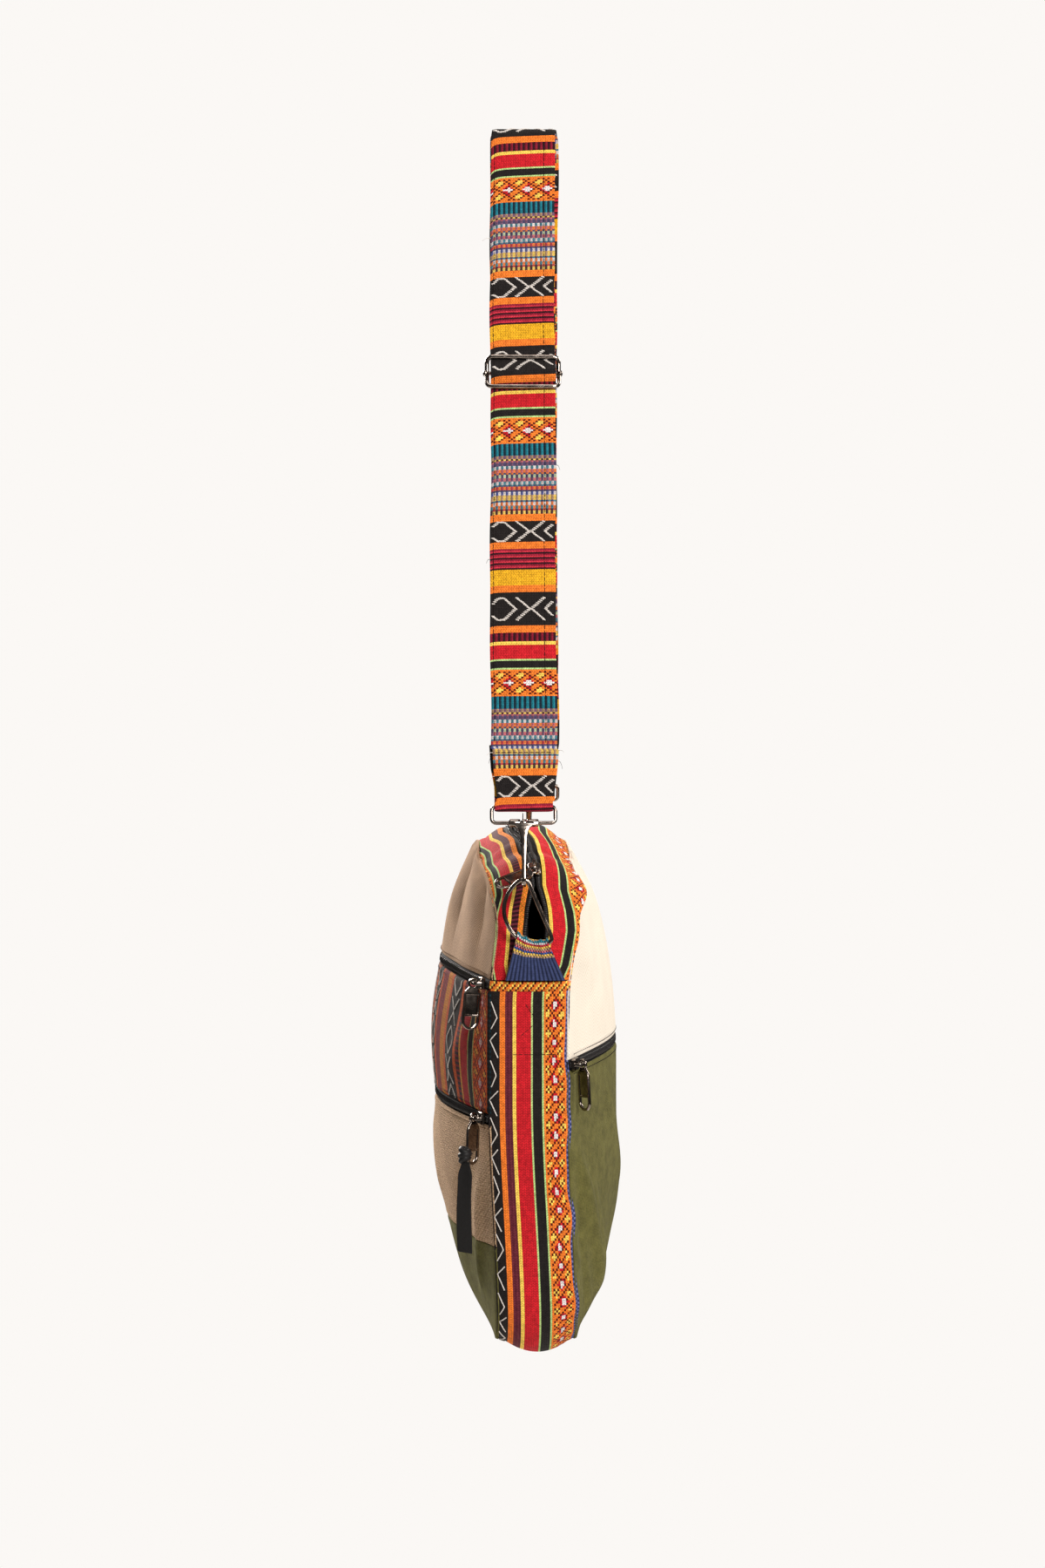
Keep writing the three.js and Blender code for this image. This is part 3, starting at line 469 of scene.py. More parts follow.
def loop_curve(points, per_span=8):
    """A smooth closed line through points."""
    p = np.asarray(points, float)
    t = np.linspace(0, 1, per_span, endpoint=False)[:, None]
    before, after, later = np.roll(p, 1, 0), np.roll(p, -1, 0), np.roll(p, -2, 0)
    spans = []
    for p0, p1, p2, p3 in zip(before, p, after, later):
        square, cube = 2 * p0 - 5 * p1 + 4 * p2 - p3, 3 * p1 - p0 - 3 * p2 + p3
        spans.append(0.5 * (2 * p1 + (p2 - p0) * t + square * t**2 + cube * t**3))
    return np.concatenate(spans)


def plate(outline, holes, thick, bevel):
    """Points and faces of a flat plate with rounded edges, drawn in its own X and Y and centred on Z."""
    curve = bpy.data.curves.new("plate", "CURVE")
    curve.dimensions = "2D"
    curve.fill_mode = "BOTH"
    curve.extrude = thick / 2 - bevel
    curve.bevel_depth = bevel
    curve.bevel_resolution = 2
    curve.offset = -bevel
    for line in [outline, *holes]:
        spline = curve.splines.new("POLY")
        spline.points.add(len(line) - 1)
        spline.use_cyclic_u = True
        for point, (x, y) in zip(spline.points, line):
            point.co = (x, y, 0, 1)
    obj = bpy.data.objects.new("plate", curve)
    mesh = bpy.data.meshes.new_from_object(obj)
    work = bmesh.new()
    work.from_mesh(mesh)
    bmesh.ops.remove_doubles(work, verts=work.verts, dist=1e-4)
    bmesh.ops.recalc_face_normals(work, faces=work.faces)
    verts = np.array([v.co[:] for v in work.verts])
    faces = [tuple(v.index for v in f.verts) for f in work.faces]
    work.free()
    bpy.data.objects.remove(obj)
    bpy.data.curves.remove(curve)
    bpy.data.meshes.remove(mesh)
    return verts, faces


def ring_line(x, y, radius, start=0.0, end=2 * math.pi, count=28):
    angles = np.linspace(start, end, count, endpoint=abs(end - start) < 6.28)
    return [(x + radius * math.cos(a), y + radius * math.sin(a)) for a in angles]


def moved(shape, matrix):
    verts, faces = shape
    matrix = np.asarray(matrix, float)
    return verts @ matrix[:3, :3].T + matrix[:3, 3], faces


def joined(shapes):
    verts, faces, count = [], [], 0
    for v, f in shapes:
        verts.append(v)
        faces.extend(tuple(i + count for i in face) for face in f)
        count += len(v)
    return np.concatenate(verts), faces


def axes(x, y, z, at=(0, 0, 0)):
    matrix = np.eye(4)
    matrix[:3, 0], matrix[:3, 1], matrix[:3, 2], matrix[:3, 3] = x, y, z, at
    return matrix


def turned(axis, degrees):
    return np.array(Matrix.Rotation(math.radians(degrees), 4, axis))


def shifted(x, y, z):
    return np.array(Matrix.Translation((x, y, z)))


def piece(name, shape, material, slot, *nodes, body="bag", sharp=40):
    verts, faces = shape
    obj = finish_mesh(new_object(name, verts, faces, material), sharp)
    return ride(obj, slot, *nodes, body=body)


# Materials
def linear(rgb):
    c = np.asarray(rgb, float) / 255
    return np.where(c <= 0.04045, c / 12.92, ((c + 0.055) / 1.055) ** 2.4)


def shades(colour, *shares):
    return [linear([c * share for c in colour]) for share in shares]


class Value:
    """A value that runs through nodes, on which the usual signs work."""

    def __init__(self, tree, socket):
        self.tree, self.socket = tree, socket

    def other(self, output):
        return Value(self.tree, self.socket.node.outputs[output])

    def __add__(self, value):
        return self.tree.math("ADD", self, value)

    def __sub__(self, value):
        return self.tree.math("SUBTRACT", self, value)

    def __rsub__(self, value):
        return self.tree.math("SUBTRACT", value, self)

    def __mul__(self, value):
        return self.tree.math("MULTIPLY", self, value)

    def __truediv__(self, value):
        return self.tree.math("DIVIDE", self, value)

    def __pow__(self, value):
        return self.tree.math("POWER", self, value)


class Nodes:
    """Adds nodes to a tree with short calls."""

    def __init__(self, tree):
        self.nodes, self.links = tree.nodes, tree.links

    def put(self, value, socket):
        if isinstance(value, Value):
            self.links.new(value.socket, socket)
        elif socket.type == "RGBA":
            socket.default_value = (*value[:3], 1)
        else:
            socket.default_value = value

    def node(self, kind, *values, output=0, **settings):
        """A new node, with its first inputs filled, as the value that it puts out."""
        node = self.nodes.new("ShaderNode" + kind)
        for name, setting in settings.items():
            setattr(node, name, setting)
        for value, socket in zip(values, node.inputs):
            self.put(value, socket)
        return Value(self, node.outputs[output])

    def math(self, operation, *values):
        return self.node("Math", *values, operation=operation)


class Shader(Nodes):
    """A material and the nodes that cloth and metal need."""

    def __init__(self, name, rough=0.9, metal=0.0, sheen=0.0):
        self.material = bpy.data.materials.new(name)
        self.material.use_nodes = True
        super().__init__(self.material.node_tree)
        self.surface = self.nodes["Principled BSDF"]
        self.surface.inputs["Roughness"].default_value = rough
        self.surface.inputs["Metallic"].default_value = metal
        self.surface.inputs["Specular IOR Level"].default_value = 0.08 if rough > 0.7 else 0.3
        self.surface.inputs["Sheen Weight"].default_value = sheen

    def mix(self, factor, a, b, blend="MIX"):
        mixed = self.node("Mix", data_type="RGBA", blend_type=blend, output=2)
        inputs = mixed.socket.node.inputs
        for value, socket in zip((factor, a, b), (inputs[0], inputs[6], inputs[7])):
            self.put(value, socket)
        return mixed

    def shaded(self, colour, tone):
        return self.mix(1.0, colour, self.node("CombineColor", tone, tone, tone), "MULTIPLY")

    def span(self, value, low, high, to_low=0.0, to_high=1.0):
        return self.node("MapRange", value, low, high, to_low, to_high)

    def noise(self, scale, detail=2.0, vector=None):
        noise = self.node("TexNoise", vector or self.node("TexCoord", output="Object"), output="Fac")
        noise.socket.node.inputs["Scale"].default_value = scale
        noise.socket.node.inputs["Detail"].default_value = detail
        return noise

    def map_mm(self):
        x = self.node("SeparateXYZ", self.node("UVMap", uv_map="mm"))
        return x, x.other("Y")

    def wave(self, value, pitch):
        """0 in the gaps and 1 on the crests of threads with this pitch."""
        return self.math("ABSOLUTE", self.math("SINE", value * (math.pi / pitch)))

    def finish(self, colour, height, depth, strength=0.6):
        self.put(colour, self.surface.inputs["Base Color"])
        bump = self.nodes.new("ShaderNodeBump")
        bump.inputs["Strength"].default_value = strength
        bump.inputs["Distance"].default_value = depth * MM
        self.put(height, bump.inputs["Height"])
        self.links.new(bump.outputs[0], self.surface.inputs["Normal"])
        return self.material


def woven_material():
    """Striped cloth: the colour of each crossing is on the mesh, and its alpha says where ribs show."""
    s = Shader("woven_cotton", rough=0.85, sheen=0.04)
    colour = s.node("Attribute", output="Color", attribute_name="weave")
    ribbed = colour.other("Alpha")
    p, q = s.map_mm()
    row = s.math("FLOOR", q / PICK)
    way = s.math("MODULO", s.math("ABSOLUTE", row), 2.0) * 2.0 - 1.0
    slant = (q / PICK - (row + 0.5)) * way * SLANT
    beads, picks, ribs = s.wave(p + slant, RIB / 2), s.wave(q, PICK), s.wave(p, RIB)
    plain = beads**0.4 * picks**0.35 * s.span(ribs, 0, 0.35, 0.8, 1)
    cord = ribs**1.5 * s.span(picks, 0, 1, 0.65, 1)
    height = plain * (1.0 - ribbed) + cord * ribbed
    wear = s.span(s.noise(420, 3), 0.3, 0.7, 0.82, 1.12)
    return s.finish(s.shaded(colour, s.span(height, 0.0, 0.8, 0.3, 1.08) * wear), height, 0.35)


def herringbone_material(name, light, dark, column, pitch, slub):
    """Twill that turns back at each column, with slubs and uneven threads."""
    s = Shader(name, rough=0.95, sheen=0.05)
    p, q = s.map_mm()
    zigzag = s.math("PINGPONG", p, column)
    line = s.wave(q + zigzag + s.noise(120, 2) * 1.3, pitch)
    threads = s.wave(p, 0.7) * s.wave(q, 0.62)
    tone = line * 0.72 + s.noise(900, 2) * 0.28
    colour = s.mix(s.span(tone, 0.15, 0.85), linear(dark), linear(light))
    patches = s.span(s.noise(60, 4), 0.3, 0.7, 1 - slub, 1 + slub)
    return s.finish(s.shaded(colour, patches), line * 0.7 + threads * 0.3, 0.25)


def burlap_material(warp_pitch=1.5, weft_pitch=1.3):
    """Coarse plain weave of uneven hemp, with thick and thin places along its weft."""
    s = Shader("coarse_hemp", rough=1.0, sheen=0.05)
    p, q = s.map_mm()
    thick = s.noise(90, 3) * 2.4
    warp, weft = s.wave(p + thick, warp_pitch), s.wave(q + thick, weft_pitch)
    rows = s.math("SINE", p * (math.pi / warp_pitch))
    picks = s.math("SINE", q * (math.pi / weft_pitch))
    over = s.math("GREATER_THAN", rows * picks, 0.0)
    height = warp * over + weft * (1.0 - over)
    streaks = s.noise(1.0, 3, s.node("CombineXYZ", p * 0.3, q))
    hairs = s.noise(1500, 3)
    tone = height * 0.34 + hairs * 0.26 + streaks * 0.55
    colour = s.mix(s.span(tone, 0.34, 0.86), linear((112, 82, 58)), linear((232, 196, 160)))
    slubs = s.span(s.noise(45, 3), 0.3, 0.7, 0.88, 1.1)
    return s.finish(s.shaded(colour, slubs), height + hairs, 0.5)


def canvas_material():
    """Brushed olive canvas: a short nap with worn, mottled patches over fine threads."""
    s = Shader("olive_canvas", rough=0.95, sheen=0.03)
    p, q = s.map_mm()
    threads = s.wave(p, 0.8) * s.wave(q, 0.75)
    nap = s.noise(900, 4)
    worn = s.noise(34, 5) * 0.35 + s.noise(160, 4) * 0.65
    tone = worn * 0.6 + nap * 0.3 + threads * 0.16
    colour = s.mix(s.span(tone, 0.24, 0.76), linear((52, 51, 24)), linear((125, 120, 66)))
    return s.finish(colour, threads + nap * 1.6, 0.3)


def tape_material(name, colour, rough, pitch):
    """Fine ribbed tape."""
    s = Shader(name, rough=rough)
    p, q = s.map_mm()
    ribs = s.wave(p + q, pitch) * s.wave(q, pitch)
    tone = ribs * 0.6 + s.noise(600, 2) * 0.4
    return s.finish(s.mix(tone, *shades(colour, 0.6, 1.35)), ribs, 0.15)


def metal_material():
    """Dark plated metal with faint scuffs and bright edges."""
    s = Shader("gunmetal", metal=1.0)
    scuff = s.noise(380, 4)
    s.put(s.span(scuff, 0.3, 0.75, 0.1, 0.22), s.surface.inputs["Roughness"])
    colour = s.mix(s.span(s.noise(150, 3), 0.3, 0.7), linear((112, 103, 97)), linear((164, 152, 144)))
    return s.finish(colour, scuff, 0.008, 0.3)


def plain_material(name, colour, rough, scale, uneven=0.3):
    """Thread and plastic: one colour with a little unevenness."""
    s = Shader(name, rough=rough)
    tone = s.noise(scale, 3)
    return s.finish(s.mix(tone, *shades(colour, 1 - uneven, 1 + uneven)), tone, 0.05)


WOVEN = woven_material()
TAN = herringbone_material("tan_hemp", (200, 166, 136), (144, 112, 86), 5.2, 1.9, 0.14)
CREAM = herringbone_material("cream_hemp", (242, 234, 222), (218, 204, 184), 6.5, 1.9, 0.03)
BURLAP = burlap_material()
OLIVE = canvas_material()
TAPE = tape_material("zip_tape", (40, 38, 38), 0.8, 0.9)
SATIN = tape_material("black_ribbon", (30, 29, 30), 0.55, 0.6)
METAL = metal_material()
TEETH = plain_material("zip_teeth", (44, 42, 42), 0.2, 900)
THREAD = plain_material("black_thread", (32, 28, 27), 0.9, 1200)
WHITE_YARN = plain_material("white_yarn", (206, 199, 194), 0.95, 1500)
TAN_THREAD = plain_material("tan_thread", (112, 88, 66), 0.95, 1200)
LINING = plain_material("lining_cloth", (22, 21, 21), 0.95, 800)


# The woven pattern
INK = {
    name: linear(rgb)
    for name, rgb in {
        "orange": (248, 130, 50),
        "red": (208, 36, 46),
        "plum": (100, 38, 52),
        "maroon": (150, 34, 56),
        "rose": (206, 52, 70),
        "yellow": (255, 214, 96),
        "black": (38, 34, 34),
        "gold": (206, 132, 40),
        "lime": (186, 218, 140),
        "teal": (42, 138, 158),
        "navy": (46, 58, 108),
        "ink_blue": (62, 72, 112),
        "mauve": (120, 84, 122),
        "white": (238, 230, 230),
        "beige": (196, 160, 124),
        "pink": (214, 110, 120),
        "mint": (196, 214, 176),
        "dark": (54, 22, 30),
        "blue": (60, 92, 170),
        # painted shade: the front patch's teal, darkened for its shadow
        "shaded_teal": (30, 84, 100),
        "wine": (112, 46, 58),
        "umber": (92, 28, 22),
        "slate": (112, 116, 168),
        "night": (26, 44, 56),
        "amber": (240, 178, 40),
    }.items()
}


def flat(name):
    return lambda p, q, height: (INK[name], 0.0)


def where(mask, a, b):
    return np.where(mask[..., None], a, b)


def lattice(pitch, centre):
    """A row of white dashes in red diamonds, with yellow ones between, on orange checked with black."""

    def paint(p, q, height):
        across = np.abs(q - height / 2) / (height / 2)
        along = np.abs((p - centre + pitch / 2) % pitch - pitch / 2)
        between = pitch / 2 - along
        column, row = np.floor(p / (RIB / 2)), np.floor(q / PICK)
        dots = ((column + row) % 4 < 1) | ((column - row) % 8 < 1)
        colour = where(dots & (across < 0.86), INK["umber"], INK["orange"])
        flecks = between / 2.8 + np.abs(across - 0.6) / 0.26 < 1
        colour = where(flecks & ~dots, INK["yellow"], colour)
        colour = where((along / 4.0 + across / 0.46 < 1) & ~dots, INK["red"], colour)
        colour = where(along / 2.9 + across / 0.22 < 1, INK["white"], colour)
        return colour, 0.0

    return paint


def lines(names, pitch):
    inks = np.array([INK[n] for n in names])
    return lambda p, q, height: (inks[(np.floor(q / pitch) % len(names)).astype(int)], 0.0)


def dashes(first, second):
    return lambda p, q, height: (where(np.floor(2 * p / RIB) % 2 < 1, INK[first], INK[second]), 0.6)


def specks(name, row):
    """A row of bright yarn that dips behind a dark one at every other rib."""
    return lambda p, q, height: (where((np.floor(3 * p / RIB) + row) % 3 < 1, INK["black"], INK[name]), 0.0)


def twist(first, second):
    """A line of two yarns twisted together."""

    def paint(p, q, height):
        return where((np.floor(2 * p / RIB) + np.floor(q / PICK)) % 2 < 1, INK[first], INK[second]), 0.0

    return paint


def ribs(name):
    return lambda p, q, height: (INK[name], 1.0)


# Thin rows of the many-coloured band: their picks and the colours of their two kinds of rib
THIN_ROWS = [
    (2, "beige", "mauve"),
    (1, "yellow", "dark"),
    (1, "pink", "mauve"),
    (2, "navy", "mauve"),
    (2, "teal", "white"),
    (2, "orange", "pink"),
    (1, "orange", "navy"),
    (2, "mint", "navy"),
    (2, "mauve", "pink"),
    (2, "teal", "white"),
    (1, "teal", "navy"),
    (2, "orange", "rose"),
    (1, "navy", "navy"),
    (2, "white", "blue"),
    (3, "beige", "yellow"),
    (1, "teal", "navy"),
    (2, "orange", "white"),
    (2, "orange", "teal"),
    (1, "dark", "rose"),
    (2, "yellow", "dark"),
]


MUTED = 0.18 * linear((150, 120, 118))


def thin_rows(p, q, height):
    ends = np.cumsum([r[0] for r in THIN_ROWS]) * PICK
    row = np.searchsorted(ends, q, side="right").clip(0, len(THIN_ROWS) - 1)
    swap = (np.floor(2 * p / RIB) + row) % 2 < 1
    first = np.array([INK[r[1]] for r in THIN_ROWS])[row]
    second = np.array([INK[r[2]] for r in THIN_ROWS])[row]
    return where(swap, first, second) * 0.66 + MUTED, 0.35


# Bands of one repeat of the cloth, from the small rings down the strap: painter and picks
BANDS = [
    ("black", 12),
    ("orange", 4),
    (lines(["maroon", "rose", "dark"], PICK), 12),
    ("amber", 9),
    ("orange", 4),
    ("black", 19),
    ("orange", 4),
    (dashes("maroon", "dark"), 5),
    ("yellow", 2),
    ("red", 8),
    ("lime", 1),
    ("black", 4),
    ("lime", 1),
    (lattice(11.6, 4.5), 15),
    (dashes("teal", "night"), 7),
    (thin_rows, 34),
    ("orange", 4),
]


def in_picks(bands):
    """Painters and heights of bands; a name alone is a band of one colour."""
    return [(flat(band) if isinstance(band, str) else band, picks * PICK) for band, picks in bands]


def band_start(band):
    return sum(height for _, height in REPEAT[:band])


REPEAT = in_picks(BANDS)
REPEAT_LENGTH = band_start(len(REPEAT))
TEAL_BAND = 14
# Heights of the white rings and crosses laid in the two wide black bands, their pitch and their yarn
MOTIFS = {0: 11.5, 5: 13.0}
MOTIF_PITCH = 34.0
YARN = 0.36
# On the front patch the teal band is painted darker, as painted shade for the shadow that the patch lies in
SHADED_TEAL_REPEAT = list(REPEAT)
SHADED_TEAL_REPEAT[TEAL_BAND] = (dashes("shaded_teal", "night"), REPEAT[TEAL_BAND][1])


def paint(bands, p, q, wrap=True):
    """Colour and ribbing of woven cells from bands laid side by side across q."""
    heights = np.array([b[1] for b in bands])
    ends = np.cumsum(heights)
    inside = q % ends[-1] if wrap else np.clip(q, 0, ends[-1] - 0.01)
    cells = np.zeros((*q.shape, 4))
    which = np.searchsorted(ends, inside, side="right").clip(0, len(bands) - 1)
    for k, (painter, height) in enumerate(bands):
        mask = which == k
        if not mask.any():
            continue
        colour, ribbed = painter(p[mask], inside[mask] - (ends[k] - height), height)
        cells[mask, :3] = colour
        cells[mask, 3] = ribbed
    cells[..., :3] *= rng.uniform(0.86, 1.12, q.shape)[..., None]
    return cells


def middles(grid):
    return (grid[:-1, :-1] + grid[1:, :-1] + grid[1:, 1:] + grid[:-1, 1:]) / 4


def woven(name, outer, thick, p, q, bands, hint, wrap=True, recolour=None):
    cells = paint(bands, middles(p), middles(q), wrap)
    if recolour is not None:
        cells = recolour(cells, middles(p), middles(q))
    return cloth_mesh(name, outer, thick, np.stack([p, q], -1), WOVEN, hint, cells)


# Panels of the bag
def steps(low, high, size):
    return np.linspace(low, high, max(2, int(round(abs(high - low) / size)) + 1))


def seam_roll(distance, depth=1.3, reach=2.6):
    """Cloth turns in as it comes to a seam."""
    return -depth * ridge(distance, reach)


def pucker(x, z, x0, z0, x1, z1, width, stand):
    """A ridge along the line between two points, fading at its ends."""
    dx, dz = x1 - x0, z1 - z0
    size = dx * dx + dz * dz
    t = ((x - x0) * dx + (z - z0) * dz) / size
    across = ((x - x0) * dz - (z - z0) * dx) / math.sqrt(size)
    ends = smooth(t * 4) * smooth((1 - t) * 4)
    return stand * ridge(across, width) * np.where((t > 0) & (t < 1), ends, 0)


# Ridges of the panels: side, from X and Z, to X and Z, width and how far they stand out
PUCKERS = [
    (1, 118, -588, 74, -690, 7, 4.4),
    (1, 124, -604, 96, -698, 6, -2.4),
    (1, 100, -604, 52, -698, 6, 2.3),
    (1, 20, -590, -40, -690, 14, 2.0),
    (1, -60, -556, -30, -640, 12, 1.8),
    (1, -112, -588, -70, -690, 8, 2.6),
    (1, -104, -470, -50, -530, 12, 1.4),
    (-1, -112, -600, -70, -684, 8, 1.9),
    (-1, -20, -586, 20, -636, 11, 1.3),
    (1, 112, -640, 90, -700, 5, 2.1),
    (1, 60, -560, 10, -640, 12, 1.9),
    (1, 112, -470, 60, -530, 10, 1.5),
    (-1, 112, -590, 60, -640, 8, -1.9),
    (-1, 116, -600, 84, -684, 6, 1.9),
    (-1, 104, -520, 60, -560, 9, 1.5),
]


def relief(side, x, z, drape):
    """Small folds of a panel: drapes under the top seam, and ridges near the corners."""
    out = 0.35 * np.sin(x / 17 + 1.3 * np.sin(z / 31)) * np.sin(z / 23 + 0.8)
    for fold_side, x0, z0, x1, z1, width, stand in PUCKERS:
        if fold_side == side:
            out = out + pucker(x, z, x0, z0, x1, z1, width, stand)
    if drape:
        swing = x / 13.5 + 0.5 * np.sin(x / 21) + 0.012 * (z + 440)
        fade = smooth((z + 492) / 30) * smooth((TOP - z) / 4)
        out = out + 3.0 * (np.abs(np.sin(swing)) ** 0.7 - 0.6) * fade
    return out


def levels_of(low, high):
    """Levels of a patch between two heights; None is the edge of the panel."""
    first = 0.0 if low is None else level_of(low + PATCH_GAP)
    last = 3.0 if high is None else level_of(high - PATCH_GAP)
    return np.linspace(first, last, 240)


def flat_cut(low, high):
    """Size and area in metres of a patch laid flat: its outline, with the crowned top and sagging foot."""
    fine = levels_of(low, high)
    reach, z, _ = edge_at(fine)
    foot, top = height_at(0.0, fine[0], z[0]), height_at(0.0, fine[-1], z[-1])
    crowned = (top - foot) - (z[-1] - z[0])
    area = np.trapz(2 * reach, z) + crowned * 2 / 3 * 2 * HALF_LENGTH
    return {"flat": (2 * HALF_LENGTH * MM, float(top - foot) * MM), "area": float(area) * MM**2}


def panel_grid(side, low, high, step_x, step_z, drape=False, puff=0.0, columns=None):
    """Points of a patch between two heights, its places along X and its lengths up the cloth."""
    fine = levels_of(low, high)
    reach, z, _ = edge_at(fine)
    walk = walked(np.stack([reach, z], -1))
    lengths = steps(0, walk[-1], step_z)
    if columns is None:
        u = np.tile(steps(-1, 1, step_x / HALF_LENGTH), (len(lengths), 1))
    else:
        u = columns(lengths) / HALF_LENGTH
    level = np.tile(np.interp(lengths, walk, fine)[:, None], (1, u.shape[1]))
    reach, z, _ = edge_at(level)
    x = reach * u
    edge = (1 - np.abs(u)) * reach + 0.4
    out = relief(side, x, z, drape) * smooth(edge / 14) + seam_roll(edge)
    ends = ((low, z - (low or 0)), (high, (high or 0) - z))
    for line, distance in ends:
        if line is not None:
            out = out - 0.5 * ridge(distance, 0.9) + 0.25 * ridge(distance - 2.4, 1.5)
    if puff:
        out = out + puff * np.sin(math.pi * np.clip((z - low) / (high - low), 0, 1)) * smooth(edge / 30)
    if high is None:
        out = out + seam_roll((3 - level) * QUARTER * TOP_CORNER * 0.6 + 0.3)
    if low is None:
        out = out + seam_roll(level * QUARTER * BOTTOM_CORNER * 0.8 + 0.3)
    points = panel_point(side, u, level, 0.0, out)
    up = np.interp(level, fine, walk)
    return points, x, up


def panel(name, side, low, high, material, slot, step=3.0, drape=False, puff=0.0):
    points, x, up = panel_grid(side, low, high, step, step, drape, puff)
    uv = np.stack([x, up + (low or BOTTOM)], -1)
    obj = cloth_mesh(name + "_cloth", points, PANEL_THICK, uv, material, np.array([0, side, 0]))
    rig.sheet(obj, **flat_cut(low, high), held="stretched", rests_on=["gusset"])
    return ride(obj, slot, name)


def on_grid(points, row, column):
    """Points of a grid at places given in rows and columns."""
    r, c = np.floor(row).astype(int), np.floor(column).astype(int)
    r, c = np.clip(r, 0, points.shape[0] - 2), np.clip(c, 0, points.shape[1] - 2)
    a, b = (row - r)[:, None], (column - c)[:, None]
    upper = points[r, c] * (1 - b) + points[r, c + 1] * b
    lower = points[r + 1, c] * (1 - b) + points[r + 1, c + 1] * b
    return upper * (1 - a) + lower * a


def fine_line(corners, step=1.2):
    """Evenly spaced points along straight legs between corners."""
    corners = np.asarray(corners, float)
    walk = walked(corners)
    return point_at(steps(0, walk[-1], step), walk, corners)


def ring_and_cross_lines(low, high):
    """Lines of the rings and crosses of one repeat, from low to high along the bands, as (p, q)."""
    found = []
    centres = np.arange(math.floor(low / MOTIF_PITCH) - 1, math.ceil(high / MOTIF_PITCH) + 1) * MOTIF_PITCH
    for band, motif in MOTIFS.items():
        half, between = motif / 2, MOTIF_PITCH / 2
        middle = band_start(band) + REPEAT[band][1] / 2
        ring = [(8.4, 0), (1.8, half), (-1.8, half), (-8.4, 0), (-1.8, -half), (1.8, -half), (8.4, 0)]
        arm = [(7.8, half), (0.5, 0), (7.8, -half)]
        crosses = [[(between + s * x, up) for x, up in arm] for s in (-1, 1)]
        for centre in centres:
            for corners in (ring, *crosses):
                line = fine_line(corners) + (centre, middle)
                inside = (line[:, 0] > low) & (line[:, 0] < high)
                runs = np.split(np.arange(len(line)), np.where(np.diff(inside.astype(int)) != 0)[0] + 1)
                found += [line[run] for run in runs if inside[run[0]] and len(run) > 3]
    return found


def shade_and_batch_darkening(cells, p, q):
    """The pocket's cloth is darkened all over: partly a darker batch of the same weave, partly painted shade for the
    shadow that the pocket hangs in.
    """
    cells[..., :3] *= (0.56, 0.36, 0.33)
    return cells


def striped_panel(name, side, low, high):
    """The front pocket patch: its bands hang down, and the near edge starts in the teal ribs."""
    near_edge = band_start(TEAL_BAND) + 2.6
    first = near_edge - 2 * HALF_LENGTH
    inner = np.arange(math.ceil(first / PICK), math.floor(near_edge / PICK) + 1) * PICK
    lines_of_q = np.concatenate([[first], inner, [near_edge]])
    places = np.arange(len(lines_of_q))
    fine_x = np.linspace(-HALF_LENGTH, HALF_LENGTH, 600)

    def columns(lengths):
        """Places along X of the yarns, which sway as they run down."""
        fade = 4.5 * smooth((HALF_LENGTH - np.abs(fine_x)) / 45)
        swayed = [near_edge + fine_x - HALF_LENGTH + fade * math.sin(v / 17 + 0.9) for v in lengths]
        return np.stack([np.interp(lines_of_q, row, fine_x) for row in swayed])

    points, _, up = panel_grid(side, low, high, PICK, RIB / 2, puff=2.4, columns=columns)
    q = np.tile(lines_of_q, (len(up), 1))
    hint = np.array([0, side, 0])
    # the pocket's colours are darkened for its darker batch and as painted shade
    obj = woven(name + "_cloth", points, PANEL_THICK, up, q, SHADED_TEAL_REPEAT, hint, recolour=shade_and_batch_darkening)
    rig.sheet(obj, **flat_cut(low, high), held="stretched", rests_on=["gusset"])
    ride(obj, "woven_cotton", name)
    shapes = []
    for turn in (-2, -1, 0):
        for line in ring_and_cross_lines(0.5, up.max() - 0.5):
            row = np.interp(line[:, 0], up[:, 0], np.arange(len(up)))
            column = np.interp(line[:, 1] + turn * REPEAT_LENGTH, lines_of_q, places, -1, -1)
            if (column > 1).all() and (column < places[-1] - 1).all():
                shapes.append(tube(on_grid(points, row, column) + (0, side * 0.1, 0), YARN, 6))
    piece(name + "_yarn", joined(shapes), WHITE_YARN, "woven_cotton", sharp=80)


panel("front_top_patch", -1, FRONT["zip_upper"] + ZIP_HALF, None, TAN, "tan_hemp", 1.6, True)
striped_panel("front_mid_patch", -1, FRONT["zip_lower"] + ZIP_HALF, FRONT["zip_upper"] - ZIP_HALF)
panel("front_low_patch", -1, FRONT["base"], FRONT["zip_lower"] - ZIP_HALF, BURLAP, "tan_hemp", 2.0, puff=1.6)
panel("front_base_patch", -1, None, FRONT["base"], OLIVE, "olive_canvas", 2.0)
panel("back_top_patch", 1, BACK["zip"] + ZIP_HALF, None, CREAM, "cream_hemp", 2.0)
panel("back_base_patch", 1, None, BACK["zip"] - ZIP_HALF, OLIVE, "olive_canvas", 1.8)


# Strips round the edge of the bag
def edge_path(first, bends, last):
    """Even steps round the bag's edge, from one end over the middle to the other: u, level and length."""
    near = [(1, first), *((1, bend) for bend in bends), (1, last), (0.5, last)]
    rows = [*near, (0, last), *((-u, level) for u, level in reversed(near))]
    u, level = (np.array(v, float) for v in zip(*rows))
    fine = np.linspace(0, len(u) - 1, 3000)
    u, level = np.interp(fine, range(len(u)), u), np.interp(fine, range(len(level)), level)
    walk = walked(strip_point(u, level, np.zeros_like(u)))
    length = steps(0, walk[-1], RIB / 2)
    return np.interp(length, walk, u), np.interp(length, walk, level), length


